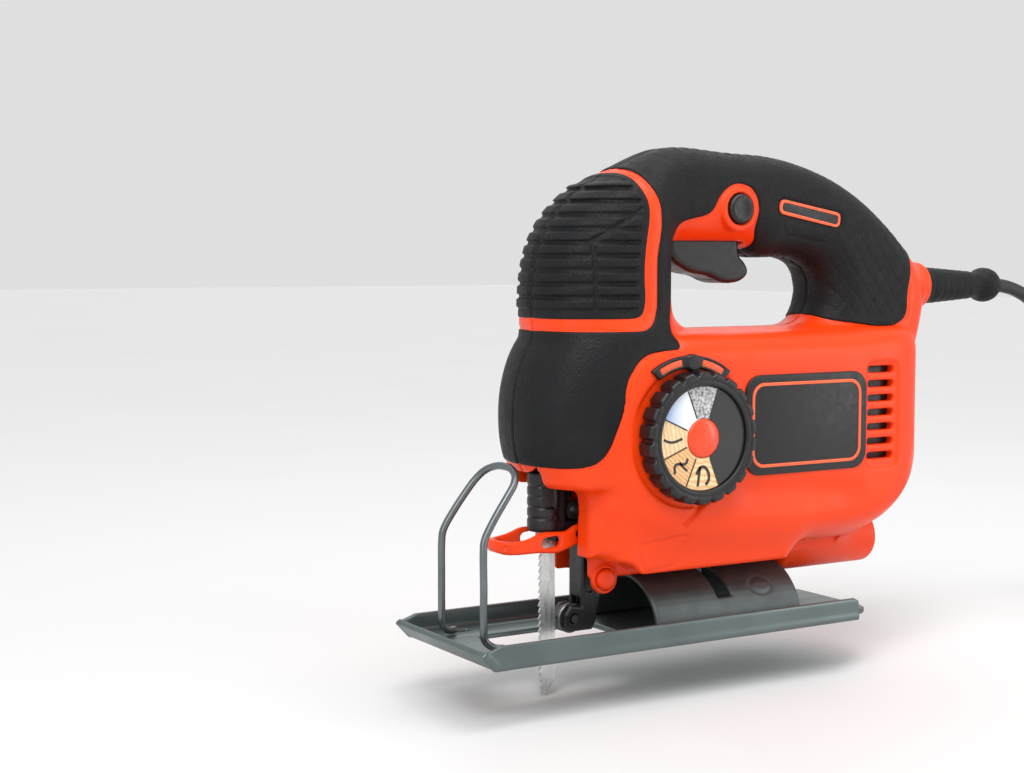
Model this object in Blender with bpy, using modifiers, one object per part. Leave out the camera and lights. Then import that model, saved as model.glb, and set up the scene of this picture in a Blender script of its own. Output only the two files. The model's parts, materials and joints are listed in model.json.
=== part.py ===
"""Corded jigsaw with a material selector dial, built as separate pieces.

Units are metres in the file; the dimensions below are millimetres and go
through mm(). Front (blade) is -X, the operator's left side is -Y, +Z is up.
z = 0 is the underside of the sole plate, x = 0 is 100 mm behind its front edge.
"""
import math
import bpy
import bmesh
from mathutils import Matrix, Vector

# ------------------------------------------------------------------ cleaning
for ob in list(bpy.data.objects):
    bpy.data.objects.remove(ob, do_unlink=True)
for block in (bpy.data.meshes, bpy.data.curves, bpy.data.materials):
    for item in list(block):
        block.remove(item)

# ------------------------------------------------- driving dimensions (mm)
GAP = 0.3                   # clearance between touching pieces
SPLIT = 0.15                # half the gap on the clamshell parting plane
BODY_HALF = 36.0            # half width of the motor body
NOSE_LOW_HALF = 32.0        # half width of the lower nose
NOSE_TOP_HALF = 29.0        # half width of the ribbed upper nose
HANDLE_HALF = 20.0          # half width of the handle
SKIN = 2.2                  # thickness of the soft overmould
WALL_AT = 5.5               # depth of the inner wall face below the outside

PLATE_FRONT, PLATE_REAR = -97.0, 95.0
PLATE_HALF = 38.0
PLATE_T = 2.5
FLANGE_H = 10.0
LIP_X, LIP_Z = -104.0, 6.6

ARCH_R, ARCH_T = 26.0, 2.5  # saddle the tool tilts on, centred on the tilt axis
ARCH_X0, ARCH_X1 = -9.0, 71.0

ROD_X, ROD_R = -47.0, 4.0   # reciprocating rod
STROKE = 20.0
GEAR_MODULE = 1.2
PINION_TEETH, GEAR_TEETH = 8, 40
MOTOR_Z = 84.0
GEAR_Z = MOTOR_Z + GEAR_MODULE * (PINION_TEETH + GEAR_TEETH) / 2   # 112.8
CRANK_R = STROKE / 2

BLADE_X0, BLADE_X1 = -54.5, -46.4
BLADE_TIP = -24.0
BLADE_TOP = 63.6

DIAL_X, DIAL_Z, DIAL_R = 0.0, 89.0, 27.5
LOCK_X, LOCK_Z, LOCK_R = 37.0, 186.5, 6.6
BLOW_X, BLOW_Z, BLOW_R = -30.0, 27.0, 4.6
ROLLER_X, ROLLER_Z, ROLLER_R = -39.4, 9.0, 6.6
ARM_PIVOT_X, ARM_PIVOT_Z = -31.5, 55.0
LEVER_PX, LEVER_PZ = -40.0, 47.0

CORD_R = 3.4
CORD_Z = 151.5
BENCH_Z = -24.3
COIL_C = (352.0, -5.0)     # centre of the coil on the bench
COIL_RING = 38.0            # mid-turn radius
COIL_HALF = 10.4             # half width of the wound bundle

# ------------------------------------------------------------------ helpers
def mm(*v):
    return tuple(c * 0.001 for c in v)

scene = bpy.context.scene
part_col = bpy.data.collections.new("jigsaw")
scene.collection.children.link(part_col)
cut_col = bpy.data.collections.new("jigsaw_cutters")
scene.collection.children.link(cut_col)
cut_col.hide_render = True

MATS = {}
def material(name, rgb, rough=0.5, metal=0.0):
    m = bpy.data.materials.new(name)
    m.use_nodes = True
    b = m.node_tree.nodes["Principled BSDF"]
    b.inputs["Base Color"].default_value = (*rgb, 1.0)
    b.inputs["Roughness"].default_value = rough
    b.inputs["Metallic"].default_value = metal
    MATS[name] = m
    return m

material("orange_abs", (0.95, 0.10, 0.02), 0.38)
material("black_tpe", (0.018, 0.019, 0.021), 0.75)
material("black_plastic", (0.02, 0.02, 0.022), 0.42)
material("label_print", (0.75, 0.62, 0.42), 0.35)
material("orange_cap", (0.95, 0.12, 0.02), 0.35)
material("grey_steel", (0.16, 0.18, 0.18), 0.5, 0.7)
material("bright_steel", (0.62, 0.63, 0.64), 0.28, 1.0)
material("hard_steel", (0.35, 0.35, 0.36), 0.35, 1.0)
material("copper", (0.72, 0.33, 0.16), 0.35, 1.0)
material("laminations", (0.30, 0.31, 0.32), 0.5, 0.8)
material("graphite", (0.05, 0.05, 0.055), 0.6, 0.2)
material("brass", (0.68, 0.52, 0.22), 0.35, 1.0)
material("cord_rubber", (0.015, 0.015, 0.017), 0.6)

def link_temp(ob):
    scene.collection.objects.link(ob)
    return ob

def evaluated(ob):
    """A plain mesh of what the object's modifiers give."""
    bpy.context.view_layer.update()
    dg = bpy.context.evaluated_depsgraph_get()
    return bpy.data.meshes.new_from_object(ob.evaluated_get(dg))

def clean(me, dist=2e-6):
    bm = bmesh.new()
    bm.from_mesh(me)
    bmesh.ops.remove_doubles(bm, verts=bm.verts, dist=dist)
    bmesh.ops.dissolve_degenerate(bm, dist=dist, edges=bm.edges)
    bm.to_mesh(me)
    bm.free()
    return me

def rebuild(ob, me):
    """Replace an object's data and drop its modifiers."""
    ob.modifiers.clear()
    old = ob.data
    ob.data = me
    if old.users == 0 and isinstance(old, bpy.types.Mesh):
        bpy.data.meshes.remove(old)
    return ob

def from_mesh(name, me):
    return link_temp(bpy.data.objects.new(name, me))

def volume(me):
    bm = bmesh.new()
    bm.from_mesh(me)
    shut = all(len(e.link_faces) == 2 for e in bm.edges)
    v = bm.calc_volume(signed=True) * 1e9
    bm.free()
    return v, shut

def boolean(ob, cutter, op="DIFFERENCE"):
    """Exact boolean, applied, then the cutter is removed. Where the exact
    solver's result disagrees with the manifold solver's, the latter is kept."""
    got = {}
    for solver in ("EXACT", "MANIFOLD"):
        m = ob.modifiers.new("cut", "BOOLEAN")
        m.operation = op
        m.solver = solver
        m.object = cutter
        me = evaluated(ob)
        if solver == "EXACT":
            clean(me, 2e-7)
        ob.modifiers.clear()
        got[solver] = (me, *volume(me))
    (a, va, sa), (b, vb, sb) = got["EXACT"], got["MANIFOLD"]
    use_exact = sa and (abs(va - vb) <= 1.0 + 1e-4 * abs(vb) or not sb)
    keep, drop = (a, b) if use_exact else (b, a)
    bpy.data.meshes.remove(drop)
    rebuild(ob, keep)
    bpy.data.objects.remove(cutter, do_unlink=True)
    return ob

def copy_of(ob, name="copy"):
    return link_temp(bpy.data.objects.new(name, ob.data.copy()))

def prism(pts, a, b, axis="Y", bevel=0.0, seg=2, angle=50):
    """A closed outline run from a to b along an axis, its rims rounded.

    axis Y: outline is (x, z); axis Z: outline is (x, y); axis X: (y, z)."""
    cu = bpy.data.curves.new("outline", "CURVE")
    cu.dimensions = "2D"
    cu.fill_mode = "BOTH"
    sp = cu.splines.new("POLY")
    sp.points.add(len(pts) - 1)
    for p, (u, v) in zip(sp.points, pts):
        p.co = (u * 0.001, v * 0.001, 0.0, 1.0)
    sp.use_cyclic_u = True
    cu.extrude = abs(b - a) * 0.0005
    ob = link_temp(bpy.data.objects.new("outline", cu))
    me = evaluated(ob)
    bpy.data.objects.remove(ob, do_unlink=True)
    bpy.data.curves.remove(cu)
    mid = (a + b) * 0.0005
    if axis == "Y":
        M = Matrix(((1, 0, 0, 0), (0, 0, -1, mid), (0, 1, 0, 0), (0, 0, 0, 1)))
    elif axis == "Z":
        M = Matrix(((1, 0, 0, 0), (0, 1, 0, 0), (0, 0, 1, mid), (0, 0, 0, 1)))
    else:
        M = Matrix(((0, 0, 1, mid), (1, 0, 0, 0), (0, 1, 0, 0), (0, 0, 0, 1)))
    me.transform(M)
    bm = bmesh.new()
    bm.from_mesh(me)
    bmesh.ops.remove_doubles(bm, verts=bm.verts, dist=1e-6)
    bmesh.ops.dissolve_limit(bm, angle_limit=0.001, verts=bm.verts, edges=bm.edges)
    bmesh.ops.recalc_face_normals(bm, faces=bm.faces)
    bm.to_mesh(me)
    bm.free()
    ob = from_mesh("prism", me)
    if bevel:
        m = ob.modifiers.new("round", "BEVEL")
        m.width = bevel * 0.001
        m.segments = seg
        m.limit_method = "ANGLE"
        m.angle_limit = math.radians(angle)
        m.use_clamp_overlap = True
        rebuild(ob, clean(evaluated(ob)))
    return ob

def box(x0, x1, y0, y1, z0, z1, bevel=0.0, seg=2):
    me = bpy.data.meshes.new("box")
    bm = bmesh.new()
    bmesh.ops.create_cube(bm, size=1.0)
    bmesh.ops.scale(bm, vec=mm(x1 - x0, y1 - y0, z1 - z0), verts=bm.verts)
    bmesh.ops.translate(bm, vec=mm((x0 + x1) / 2, (y0 + y1) / 2, (z0 + z1) / 2), verts=bm.verts)
    bm.to_mesh(me)
    bm.free()
    ob = from_mesh("box", me)
    if bevel:
        m = ob.modifiers.new("round", "BEVEL")
        m.width = bevel * 0.001
        m.segments = seg
        m.limit_method = "ANGLE"
        rebuild(ob, clean(evaluated(ob)))
    return ob

def cyl(p0, p1, r, n=24, r2=None):
    """A cylinder or cone between two points."""
    a, b = Vector(mm(*p0)), Vector(mm(*p1))
    d = b - a
    me = bpy.data.meshes.new("cyl")
    bm = bmesh.new()
    bmesh.ops.create_cone(bm, cap_ends=True, segments=n, radius1=r * 0.001,
                          radius2=(r if r2 is None else r2) * 0.001, depth=d.length)
    rot = d.to_track_quat("Z", "Y").to_matrix().to_4x4()
    bm.transform(Matrix.Translation((a + b) / 2) @ rot)
    bm.to_mesh(me)
    bm.free()
    return from_mesh("cyl", me)

def lathe(profile, origin, axis, steps=28):
    """Turn a closed (radius, height) profile about an axis through origin (Screw)."""
    me = bpy.data.meshes.new("profile")
    vs = [mm(r, 0, h) for r, h in profile]
    n = len(vs)
    closed = profile[0][0] > 1e-6 and profile[-1][0] > 1e-6
    es = [(i, i + 1) for i in range(n - 1)]
    if closed:
        es.append((n - 1, 0))
    me.from_pydata(vs, es, [])
    ob = from_mesh("lathe", me)
    m = ob.modifiers.new("turn", "SCREW")
    m.axis = "Z"
    m.steps = m.render_steps = steps
    m.angle = math.tau
    m.use_merge_vertices = True
    m.merge_threshold = 1e-5
    m.use_smooth_shade = False
    out = evaluated(ob)
    rebuild(ob, out)
    bm = bmesh.new()
    bm.from_mesh(ob.data)
    bmesh.ops.remove_doubles(bm, verts=bm.verts, dist=1e-6)
    bmesh.ops.dissolve_degenerate(bm, dist=1e-7, edges=bm.edges)
    bmesh.ops.recalc_face_normals(bm, faces=bm.faces)
    rot = Vector((0, 0, 1)).rotation_difference(Vector(axis).normalized()).to_matrix().to_4x4()
    bm.transform(Matrix.Translation(mm(*origin)) @ rot)
    bm.to_mesh(ob.data)
    bm.free()
    return ob

def tube(points, r, res=2, cyclic=False):
    """A round wire or cord along points: a curve with a bevel and filled caps."""
    cu = bpy.data.curves.new("wire", "CURVE")
    cu.dimensions = "3D"
    cu.bevel_depth = r * 0.001
    cu.bevel_resolution = res
    cu.use_fill_caps = True
    sp = cu.splines.new("POLY")
    sp.points.add(len(points) - 1)
    for p, q in zip(sp.points, points):
        p.co = (*mm(*q), 1.0)
    sp.use_cyclic_u = cyclic
    ob = link_temp(bpy.data.objects.new("wire", cu))
    me = evaluated(ob)
    bpy.data.objects.remove(ob, do_unlink=True)
    bpy.data.curves.remove(cu)
    return from_mesh("wire", clean(me))

def catmull(ctrl, n):
    """n points read evenly (by parameter) from a smooth curve through ctrl."""
    P = [Vector(c) for c in ctrl]
    P = [P[0] * 2 - P[1]] + P + [P[-1] * 2 - P[-2]]
    dense = []
    for i in range(1, len(P) - 2):
        for k in range(24):
            t = k / 24
            a, b, c, d = P[i - 1], P[i], P[i + 1], P[i + 2]
            dense.append(0.5 * ((2 * b) + (c - a) * t + (2 * a - 5 * b + 4 * c - d) * t * t
                                + (3 * b - a - 3 * c + d) * t ** 3))
    dense.append(P[-2])
    s = [0.0]
    for i in range(1, len(dense)):
        s.append(s[-1] + (dense[i] - dense[i - 1]).length)
    out, j = [], 0
    for k in range(n):
        want = s[-1] * k / (n - 1)
        while j < len(s) - 2 and s[j + 1] < want:
            j += 1
        u = (want - s[j]) / max(s[j + 1] - s[j], 1e-12)
        out.append(tuple(dense[j].lerp(dense[j + 1], min(max(u, 0.0), 1.0))))
    return out

def shifted(pts, d):
    """Move every side of a closed outline inwards by d (outwards when negative)."""
    n = len(pts)
    area = sum(pts[i][0] * pts[(i + 1) % n][1] - pts[(i + 1) % n][0] * pts[i][1] for i in range(n))
    s = 1.0 if area > 0 else -1.0
    out = []
    for i in range(n):
        p0, p1, p2 = Vector(pts[i - 1]), Vector(pts[i]), Vector(pts[(i + 1) % n])
        e1, e2 = (p1 - p0).normalized(), (p2 - p1).normalized()
        n1, n2 = Vector((-e1.y, e1.x)) * s, Vector((-e2.y, e2.x)) * s
        b = n1 + n2
        k = d / max(0.35, (1 + n1.dot(n2)))
        out.append((p1.x + b.x * k, p1.y + b.y * k))
    return out

def arc(cx, cy, r, a0, a1, n):
    return [(cx + r * math.cos(math.radians(a0 + (a1 - a0) * i / (n - 1))),
             cy + r * math.sin(math.radians(a0 + (a1 - a0) * i / (n - 1)))) for i in range(n)]

def circle(cx, cy, r, n=24, start=0.0):
    return [(cx + r * math.cos(math.tau * (i + start) / n),
             cy + r * math.sin(math.tau * (i + start) / n)) for i in range(n)]

def finish(ob, name, mat, at=(0, 0, 0), parent=None, smooth=35):
    """Name the piece, put its origin at a point and link it in the part's collection."""
    at = Vector(mm(*at))
    ob.data.transform(Matrix.Translation(-at))
    ob.name = name
    ob.data.name = name
    ob.data.materials.clear()
    ob.data.materials.append(MATS[mat])
    for c in list(ob.users_collection):
        c.objects.unlink(ob)
    part_col.objects.link(ob)
    if parent is not None:
        ob.parent = parent
        base = parent.location.copy()
        if parent.parent is not None:
            base += parent.parent.location
        ob.location = at - base
    else:
        ob.location = at
    if smooth:
        ob.data.shade_smooth()
        ob.data.set_sharp_from_angle(angle=math.radians(smooth))
    return ob

def empty(name, at):
    e = bpy.data.objects.new(name, None)
    e.empty_display_size = 0.01
    e.location = mm(*at)
    part_col.objects.link(e)
    return e

# ---------------------------------------------------- the shell's side views
B0 = [(-62, 72), (-67, 86), (-67, 108), (-60, 128), (-46, 140), (-5, 140), (-5, 72)]
B1 = [(-40, 64), (-36, 122), (-10, 132), (85, 132), (132, 134), (152, 120), (151, 78),
      (143, 58), (124, 43), (40, 39), (-16, 44)]
B2 = [(-42, 68), (-43, 38), (108, 38), (124, 47), (110, 66)]
NT = [(-58, 128), (-58, 152), (-55, 169), (-47, 183), (-33, 195), (-17, 204), (-6, 204), (-2, 192), (-2, 128)]
HA = [(-12, 120), (-12, 198), (-3, 210), (12, 214), (40, 211.5), (64, 211), (84, 207), (102, 201),
      (119, 192), (135, 180), (148, 168), (157, 158), (159, 146), (155, 128), (150, 112), (20, 112)]
FG = [(3, 171), (3, 159), (6, 144), (17, 133), (80, 133), (87, 139), (89.5, 150), (86, 161),
      (72, 165.5), (54, 165), (50, 171)]
# black overmould: lower nose, column and handle, with the orange switch surround left open
SOFT = [(-80, 77), (-53, 77), (-45, 79), (-39, 85), (-34, 98), (-30, 111), (-28, 118), (-25, 122),
        (-19, 125), (-6, 125), (-3, 128), (-4, 136), (-2, 146), (-1, 158), (1, 166), (4, 178), (9, 181),
        (20, 183), (24, 186), (27, 192), (31, 195.5), (36, 197.5), (43, 196.5), (47, 192.5), (48.5, 187),
        (47.5, 178), (51, 173), (52, 168), (56, 156), (78, 156), (83, 144), (91, 137), (97, 135.5),
        (118, 133), (133, 133.5), (139, 138), (139, 150), (144, 166), (160, 184), (120, 225), (-20, 225),
        (-23, 207), (-18, 205), (-13, 198), (-10, 188), (-11, 175), (-13, 166), (-13, 141), (-19, 134.5),
        (-80, 134.5)]
PAD = [(-80, 139), (-21, 139), (-18, 145), (-19, 159), (-18, 171), (-15, 187), (-17, 196), (-20, 202),
       (-26, 206), (-28, 225), (-80, 225)]

def shell(d):
    """The whole outside of the housing moved in by d, both sides at once."""
    def p(o, half, bev, seg=2):
        return prism(shifted(o, d), -(half - d), half - d, "Y", max(bev - d * 0.6, 2.0), seg)
    s = p(B1, BODY_HALF, 12, 2)
    s = boolean(s, p(B0, NOSE_LOW_HALF, 12, 2), "UNION")
    s = boolean(s, p(NT, NOSE_TOP_HALF, 11, 3), "UNION")
    s = boolean(s, p(B2, 24, 6, 1), "UNION")
    s = boolean(s, p(HA, HANDLE_HALF, 9, 2), "UNION")
    return s

def finger(d):
    return prism(shifted(FG, -d), -60, 60, "Y")

outer = boolean(shell(0.0), finger(0.0))
foot = box(-38, 60, -14.5, 14.5, 27.6, 42)
outer = boolean(outer, foot, "UNION")
spout = cyl((71.6, 0, 31.5), (129, 0, 31.5), 12.6, 20)
outer = boolean(outer, spout, "UNION")
boss = cyl((150, 0, CORD_Z), (164, 0, CORD_Z), 11.5, 20)
outer = boolean(outer, boss, "UNION")

under = boolean(shell(SKIN + GAP), finger(SKIN + GAP))     # what lies under the soft skin
under2 = boolean(shell(SKIN), finger(SKIN))
hollow = boolean(shell(WALL_AT), finger(WALL_AT))
hollow = boolean(hollow, box(-75, -18, -45, 45, 0, 66))     # the clamp recess stays solid round about
hollow = boolean(hollow, box(-52.5, -11, -20.7, 20.7, 118.3, 149.6), "UNION")   # the two front rooms are one

SCREWS = [(128.0, 106.0, BODY_HALF), (-28.0, 178.0, NOSE_TOP_HALF), (106.0, 182.0, HANDLE_HALF)]

core = copy_of(outer, "core")
core = boolean(core, prism(SOFT, -60, 60, "Y"))
core = boolean(core, prism(PAD, -60, 60, "Y"))
core = boolean(core, copy_of(under, "u"), "UNION")
core = boolean(core, hollow)
# ring round the lock button, ribs that carry the motor, screw pillars
core = boolean(core, cyl((LOCK_X, -21.4, LOCK_Z), (LOCK_X, -15.5, LOCK_Z), 10.0, 28), "UNION")
rib = boolean(box(81, 86, -33, 33, 50, 122), cyl((70, 0, MOTOR_Z), (95, 0, MOTOR_Z), 9.4, 20))
core = boolean(core, rib, "UNION")
rib = boolean(box(24, 28, -33, 33, 52, 118), cyl((15, 0, MOTOR_Z), (35, 0, MOTOR_Z), 27.9, 28))
core = boolean(core, rib, "UNION")
for sx, sz, half in SCREWS:
    core = boolean(core, cyl((sx, -(half - 3.5), sz), (sx, half - 3.5, sz), 5.0, 12), "UNION")
# clamp recess and the plunger's way through the floor of the nose
core = boolean(core, box(-46, -24, -12.5, 12.5, 20, 66))
core = boolean(core, box(-61.5, -33, -11.2, 11.2, 60, 80))
# dial spindle, lock button, trigger, blower button, screws, cord, dust bore
core = boolean(core, cyl((DIAL_X, -45, DIAL_Z), (DIAL_X, -28, DIAL_Z), 8.3, 28))
core = boolean(core, cyl((LOCK_X, -25, LOCK_Z), (LOCK_X, -12.5, LOCK_Z), LOCK_R + GAP, 28))
core = boolean(core, box(7, 47, -9.3, 9.3, 165, 178))
core = boolean(core, cyl((BLOW_X, -15.6, BLOW_Z), (BLOW_X, -11, BLOW_Z), 6.4, 24), "UNION")
core = boolean(core, box(-46, -24, -12.5, 12.5, 20, 40))
core = boolean(core, cyl((BLOW_X, -18, BLOW_Z), (BLOW_X, -10, BLOW_Z), BLOW_R + GAP, 24))
core = boolean(core, cyl((30, 0, 20), (30, 0, 50), 2.7, 16))
core = boolean(core, cyl((140, 0, CORD_Z), (170, 0, CORD_Z), 7.3, 16))
core = boolean(core, cyl((76, 0, 31.5), (135, 0, 31.5), 9.4, 20))
for sx, sz, half in SCREWS:
    core = boolean(core, cyl((sx, -(half - 6), sz), (sx, half + 2, sz), 2.3, 10))
    core = boolean(core, cyl((sx, half - 5.0, sz), (sx, half + 3, sz), 3.9, 12))
for k in range(7):
    z = 73.0 + 6.6 * k
    for sy in (-1, 1):
        core = boolean(core, box(102, 116, sy * 34 - 6, sy * 34 + 6, z, z + 2.8))

def keep_side(ob, side):
    """Cut away everything past the parting plane."""
    a, b = (-SPLIT, 90) if side < 0 else (-90, SPLIT)
    return boolean(ob, box(-150, 260, a, b, -50, 260))

def largest(ob):
    """Keep the biggest connected piece and drop crumbs left by cuts."""
    bm = bmesh.new()
    bm.from_mesh(ob.data)
    left, groups = set(bm.verts), []
    while left:
        v = left.pop()
        grp, stack = {v}, [v]
        while stack:
            for e in stack.pop().link_edges:
                for w in e.verts:
                    if w in left:
                        left.discard(w)
                        grp.add(w)
                        stack.append(w)
        groups.append(grp)
    groups.sort(key=len, reverse=True)
    for g in groups[1:]:
        bmesh.ops.delete(bm, geom=list(g), context="VERTS")
    bm.to_mesh(ob.data)
    bm.free()
    return ob

def skin(outline, side, holes):
    ob = copy_of(outer, "skin")
    ob = boolean(ob, prism(shifted(outline, GAP), -60, 60, "Y"), "INTERSECT")
    ob = boolean(ob, copy_of(under2, "u"))
    for h in holes:
        ob = boolean(ob, h)
    return largest(keep_side(ob, side))

def screw_hole(i, r):
    sx, sz, half = SCREWS[i]
    return cyl((sx, half - 8, sz), (sx, half + 3, sz), r, 12)

left = finish(largest(keep_side(copy_of(core), -1)), "housing_left", "orange_abs")
right = finish(largest(keep_side(core, 1)), "housing_right", "orange_abs")
lock_room = lambda: cyl((LOCK_X, -30, LOCK_Z), (LOCK_X, -12, LOCK_Z), 10.3, 28)
cord_room = lambda: cyl((140, 0, CORD_Z), (175, 0, CORD_Z), 11.8, 20)
finish(skin(SOFT, -1, [lock_room(), cord_room()]), "grip_left", "black_tpe")
finish(skin(SOFT, 1, [screw_hole(2, 4.0), cord_room()]), "grip_right", "black_tpe")
finish(skin(PAD, -1, []), "nose_pad_left", "black_tpe")
finish(skin(PAD, 1, [screw_hole(1, 4.0)]), "nose_pad_right", "black_tpe")
for ob in (outer, under, under2):
    bpy.data.objects.remove(ob, do_unlink=True)

# ------------------------------------------------------------ badges, pointer
def badge(name, side):
    out = []
    for cx, cz, a in ((90, 106, 0), (36.4, 106, 90), (36.4, 78, 180), (90, 78, 270)):
        out += arc(cx, cz, 8, a, a + 90, 3)
    y0, y1 = sorted((side * (BODY_HALF + GAP), side * (BODY_HALF + 1.6)))
    return finish(prism(out, y0, y1, "Y", 0.4, 1), name, "black_plastic")
badge("badge_left", -1)
badge("badge_right", 1)
ptr = arc(-5, 89, 33.5, 55, 122, 9) + arc(-5, 89, 29.5, 118, 60, 8)
ptr = [(x + 3, z) for x, z in ptr]
finish(prism(ptr, -(BODY_HALF + 2.4), -(BODY_HALF + GAP), "Y", 0.4, 1), "dial_pointer", "black_plastic")

# ------------------------------------------------------------------- the dial
knurl = []
for i in range(24):
    a = math.tau * i / 24
    for da, r in ((0.0, DIAL_R), (0.35, DIAL_R), (0.5, DIAL_R - 1.2), (0.85, DIAL_R - 1.2)):
        b = a + da * math.tau / 24
        knurl.append((DIAL_X + r * math.cos(b), DIAL_Z + r * math.sin(b)))
dial = prism(knurl, -46, -(BODY_HALF + GAP), "Y", 0)
dial = boolean(dial, cyl((DIAL_X, -50, DIAL_Z), (DIAL_X, -43, DIAL_Z), 22.0, 28))
dial = boolean(dial, cyl((DIAL_X, -40, DIAL_Z), (DIAL_X, -30.9, DIAL_Z), 8.0, 28), "UNION")
dial_axis = empty("dial_axis", (DIAL_X, -36, DIAL_Z))
finish(dial, "selector_dial", "black_plastic", (DIAL_X, -36, DIAL_Z), dial_axis)
lab = lathe([(8.6, 0), (21.7, 0), (21.7, 0.8), (8.6, 0.8)], (DIAL_X, -43.3, DIAL_Z), (0, -1, 0), 28)
finish(lab, "dial_label", "label_print", (DIAL_X, -36, DIAL_Z), dial_axis)
cap = lathe([(0, 0), (8.3, 0), (8.3, 0.9), (6.5, 1.8), (0, 2.4)], (DIAL_X, -43.3, DIAL_Z), (0, -1, 0), 20)
finish(cap, "dial_cap", "orange_cap", (DIAL_X, -36, DIAL_Z), dial_axis)

# -------------------------------------------------------- trigger and buttons
TRG = [(46.7, 174.6), (46.7, 166), (50, 163.6), (52.4, 160), (52, 157), (48, 154.2), (41, 153.3),
       (35, 154.6), (30, 157), (20, 158.3), (10.5, 163), (7.3, 168), (7.3, 174.6)]
trg_axis = empty("trigger_axis", (27, 0, 165))
finish(prism(TRG, -9, 9, "Y", 2.0, 2, 75), "trigger", "black_plastic", (27, 0, 165), trg_axis)
finish(box(6.5, 45.5, -10.5, 10.5, 180, 200, 1.0, 1), "switch_body", "black_plastic")
lock_axis = empty("lock_axis", (LOCK_X, -18, LOCK_Z))
lk = lathe([(0, 0), (LOCK_R, 0), (LOCK_R, 8.0), (LOCK_R - 0.9, 8.8), (0, 9.2)], (LOCK_X, -14.3, LOCK_Z), (0, -1, 0), 28)
finish(lk, "lock_button", "black_plastic", (LOCK_X, -18, LOCK_Z), lock_axis)
blow_axis = empty("blower_axis", (BLOW_X, -15, BLOW_Z))
bl = lathe([(0, 0), (BLOW_R, 0), (BLOW_R, 3.6), (BLOW_R - 0.6, 4.2), (0, 4.4)], (BLOW_X, -13.0, BLOW_Z), (0, -1, 0), 24)
finish(bl, "blower_button", "orange_abs", (BLOW_X, -15, BLOW_Z), blow_axis)

# ---------------------------------------------------------------- the housing screws
for i, (sx, sz, half) in enumerate(SCREWS):
    L = half - 5.0 + GAP
    prof = [(0, -(half - 7)), (1.9, -(half - 7)), (1.9, L), (3.5, L), (3.5, L + 2.2), (2.9, L + 2.8), (0, L + 2.8)]
    finish(lathe(prof, (sx, 0, sz), (0, 1, 0), 12), "housing_screw_%d" % (i + 1), "hard_steel")

# ----------------------------------------------------------------- motor and gears
def gear(teeth, m, thin, tip, root, cx=0.0, cz=0.0, phase=0.0, steps=3):
    """Involute-like outline: straight pressure angle 25 degrees, teeth thinned for backlash."""
    rp, rb = m * teeth / 2, m * teeth / 2 * math.cos(math.radians(25))
    inv = lambda r: math.tan(math.acos(min(1.0, rb / r))) - math.acos(min(1.0, rb / r)) if r > rb else 0.0
    half_p = (math.pi / 2 / teeth) - thin / rp
    r_in, r_out = rp - root, rp + tip
    pts = []
    for i in range(teeth):
        a = phase + math.tau * i / teeth
        side = []
        for k in range(steps):
            r = max(r_in, min(rb, r_out)) + (r_out - max(r_in, min(rb, r_out))) * k / (steps - 1)
            side.append((r, half_p + inv(rp) - inv(r)))
        if r_in < side[0][0] - 1e-6:
            side.insert(0, (r_in, side[0][1]))
        for r, h in side:
            pts.append((cx + r * math.cos(a - h), cz + r * math.sin(a - h)))
        for r, h in reversed(side):
            pts.append((cx + r * math.cos(a + h), cz + r * math.sin(a + h)))
    return pts

motor_axis = empty("motor_axis", (0, 0, MOTOR_Z))
MC = (0, 0, MOTOR_Z)
shaft = cyl((-36, 0, MOTOR_Z), (88, 0, MOTOR_Z), 3.0, 24)
pin_out = gear(PINION_TEETH, GEAR_MODULE, 0.16, 0.95 * GEAR_MODULE, 1.05 * GEAR_MODULE, 0, MOTOR_Z, math.pi / 2)
shaft = boolean(shaft, prism(pin_out, -35.0, -26.0, "X"), "UNION")
finish(shaft, "motor_shaft", "hard_steel", MC, motor_axis)
finish(lathe([(3.3, 6), (15, 6), (15, 48), (3.3, 48)], MC, (1, 0, 0), 24), "armature_core", "laminations", MC, motor_axis)
finish(lathe([(3.3, 56), (8.5, 56), (8.5, 70), (3.3, 70)], MC, (1, 0, 0), 16), "commutator", "copper", MC, motor_axis)
fan_out = gear(9, 5.2, 1.6, 0.6, 13.0, 0, MOTOR_Z, 0.0, 2)
fan = prism(fan_out, -15, -9.5, "X")
fan = boolean(fan, cyl((-10.5, 0, MOTOR_Z), (-8.5, 0, MOTOR_Z), 25.0, 24), "UNION")
fan = boolean(fan, cyl((-20, 0, MOTOR_Z), (0, 0, MOTOR_Z), 3.3, 20))
finish(fan, "motor_fan", "black_plastic", MC, motor_axis)
finish(lathe([(15.8, 4), (27.4, 4), (27.4, 50), (15.8, 50)], MC, (1, 0, 0), 28), "stator_core", "laminations", MC)
finish(lathe([(3.3, -25), (8.0, -25), (8.0, -19), (3.3, -19)], MC, (1, 0, 0), 16), "bearing_front", "bright_steel", MC)
finish(lathe([(3.3, 80.5), (9.0, 80.5), (9.0, 86.5), (3.3, 86.5)], MC, (1, 0, 0), 16), "bearing_rear", "bright_steel", MC)
plate = box(-24, -20.5, -22, 22, 66.6, 130, 1.0, 1)
plate = boolean(plate, cyl((-30, 0, MOTOR_Z), (-10, 0, MOTOR_Z), 8.3, 28))
plate = boolean(plate, cyl((-30, 0, GEAR_Z), (-10, 0, GEAR_Z), 3.3, 20))
finish(plate, "gear_plate", "grey_steel")
finish(cyl((-36.0, 0, GEAR_Z), (-20, 0, GEAR_Z), 3.0, 20), "gear_axle", "hard_steel")
gear_axis = empty("gear_axis", (-30, 0, GEAR_Z))
gw = prism(gear(GEAR_TEETH, GEAR_MODULE, 0.16, 0.95 * GEAR_MODULE, 1.1 * GEAR_MODULE, 0, GEAR_Z,
                -math.pi / 2 + math.pi / GEAR_TEETH, 2), -34, -27, "X")
gw = boolean(gw, cyl((-40, 0, GEAR_Z), (-20, 0, GEAR_Z), 3.3, 20))
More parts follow.
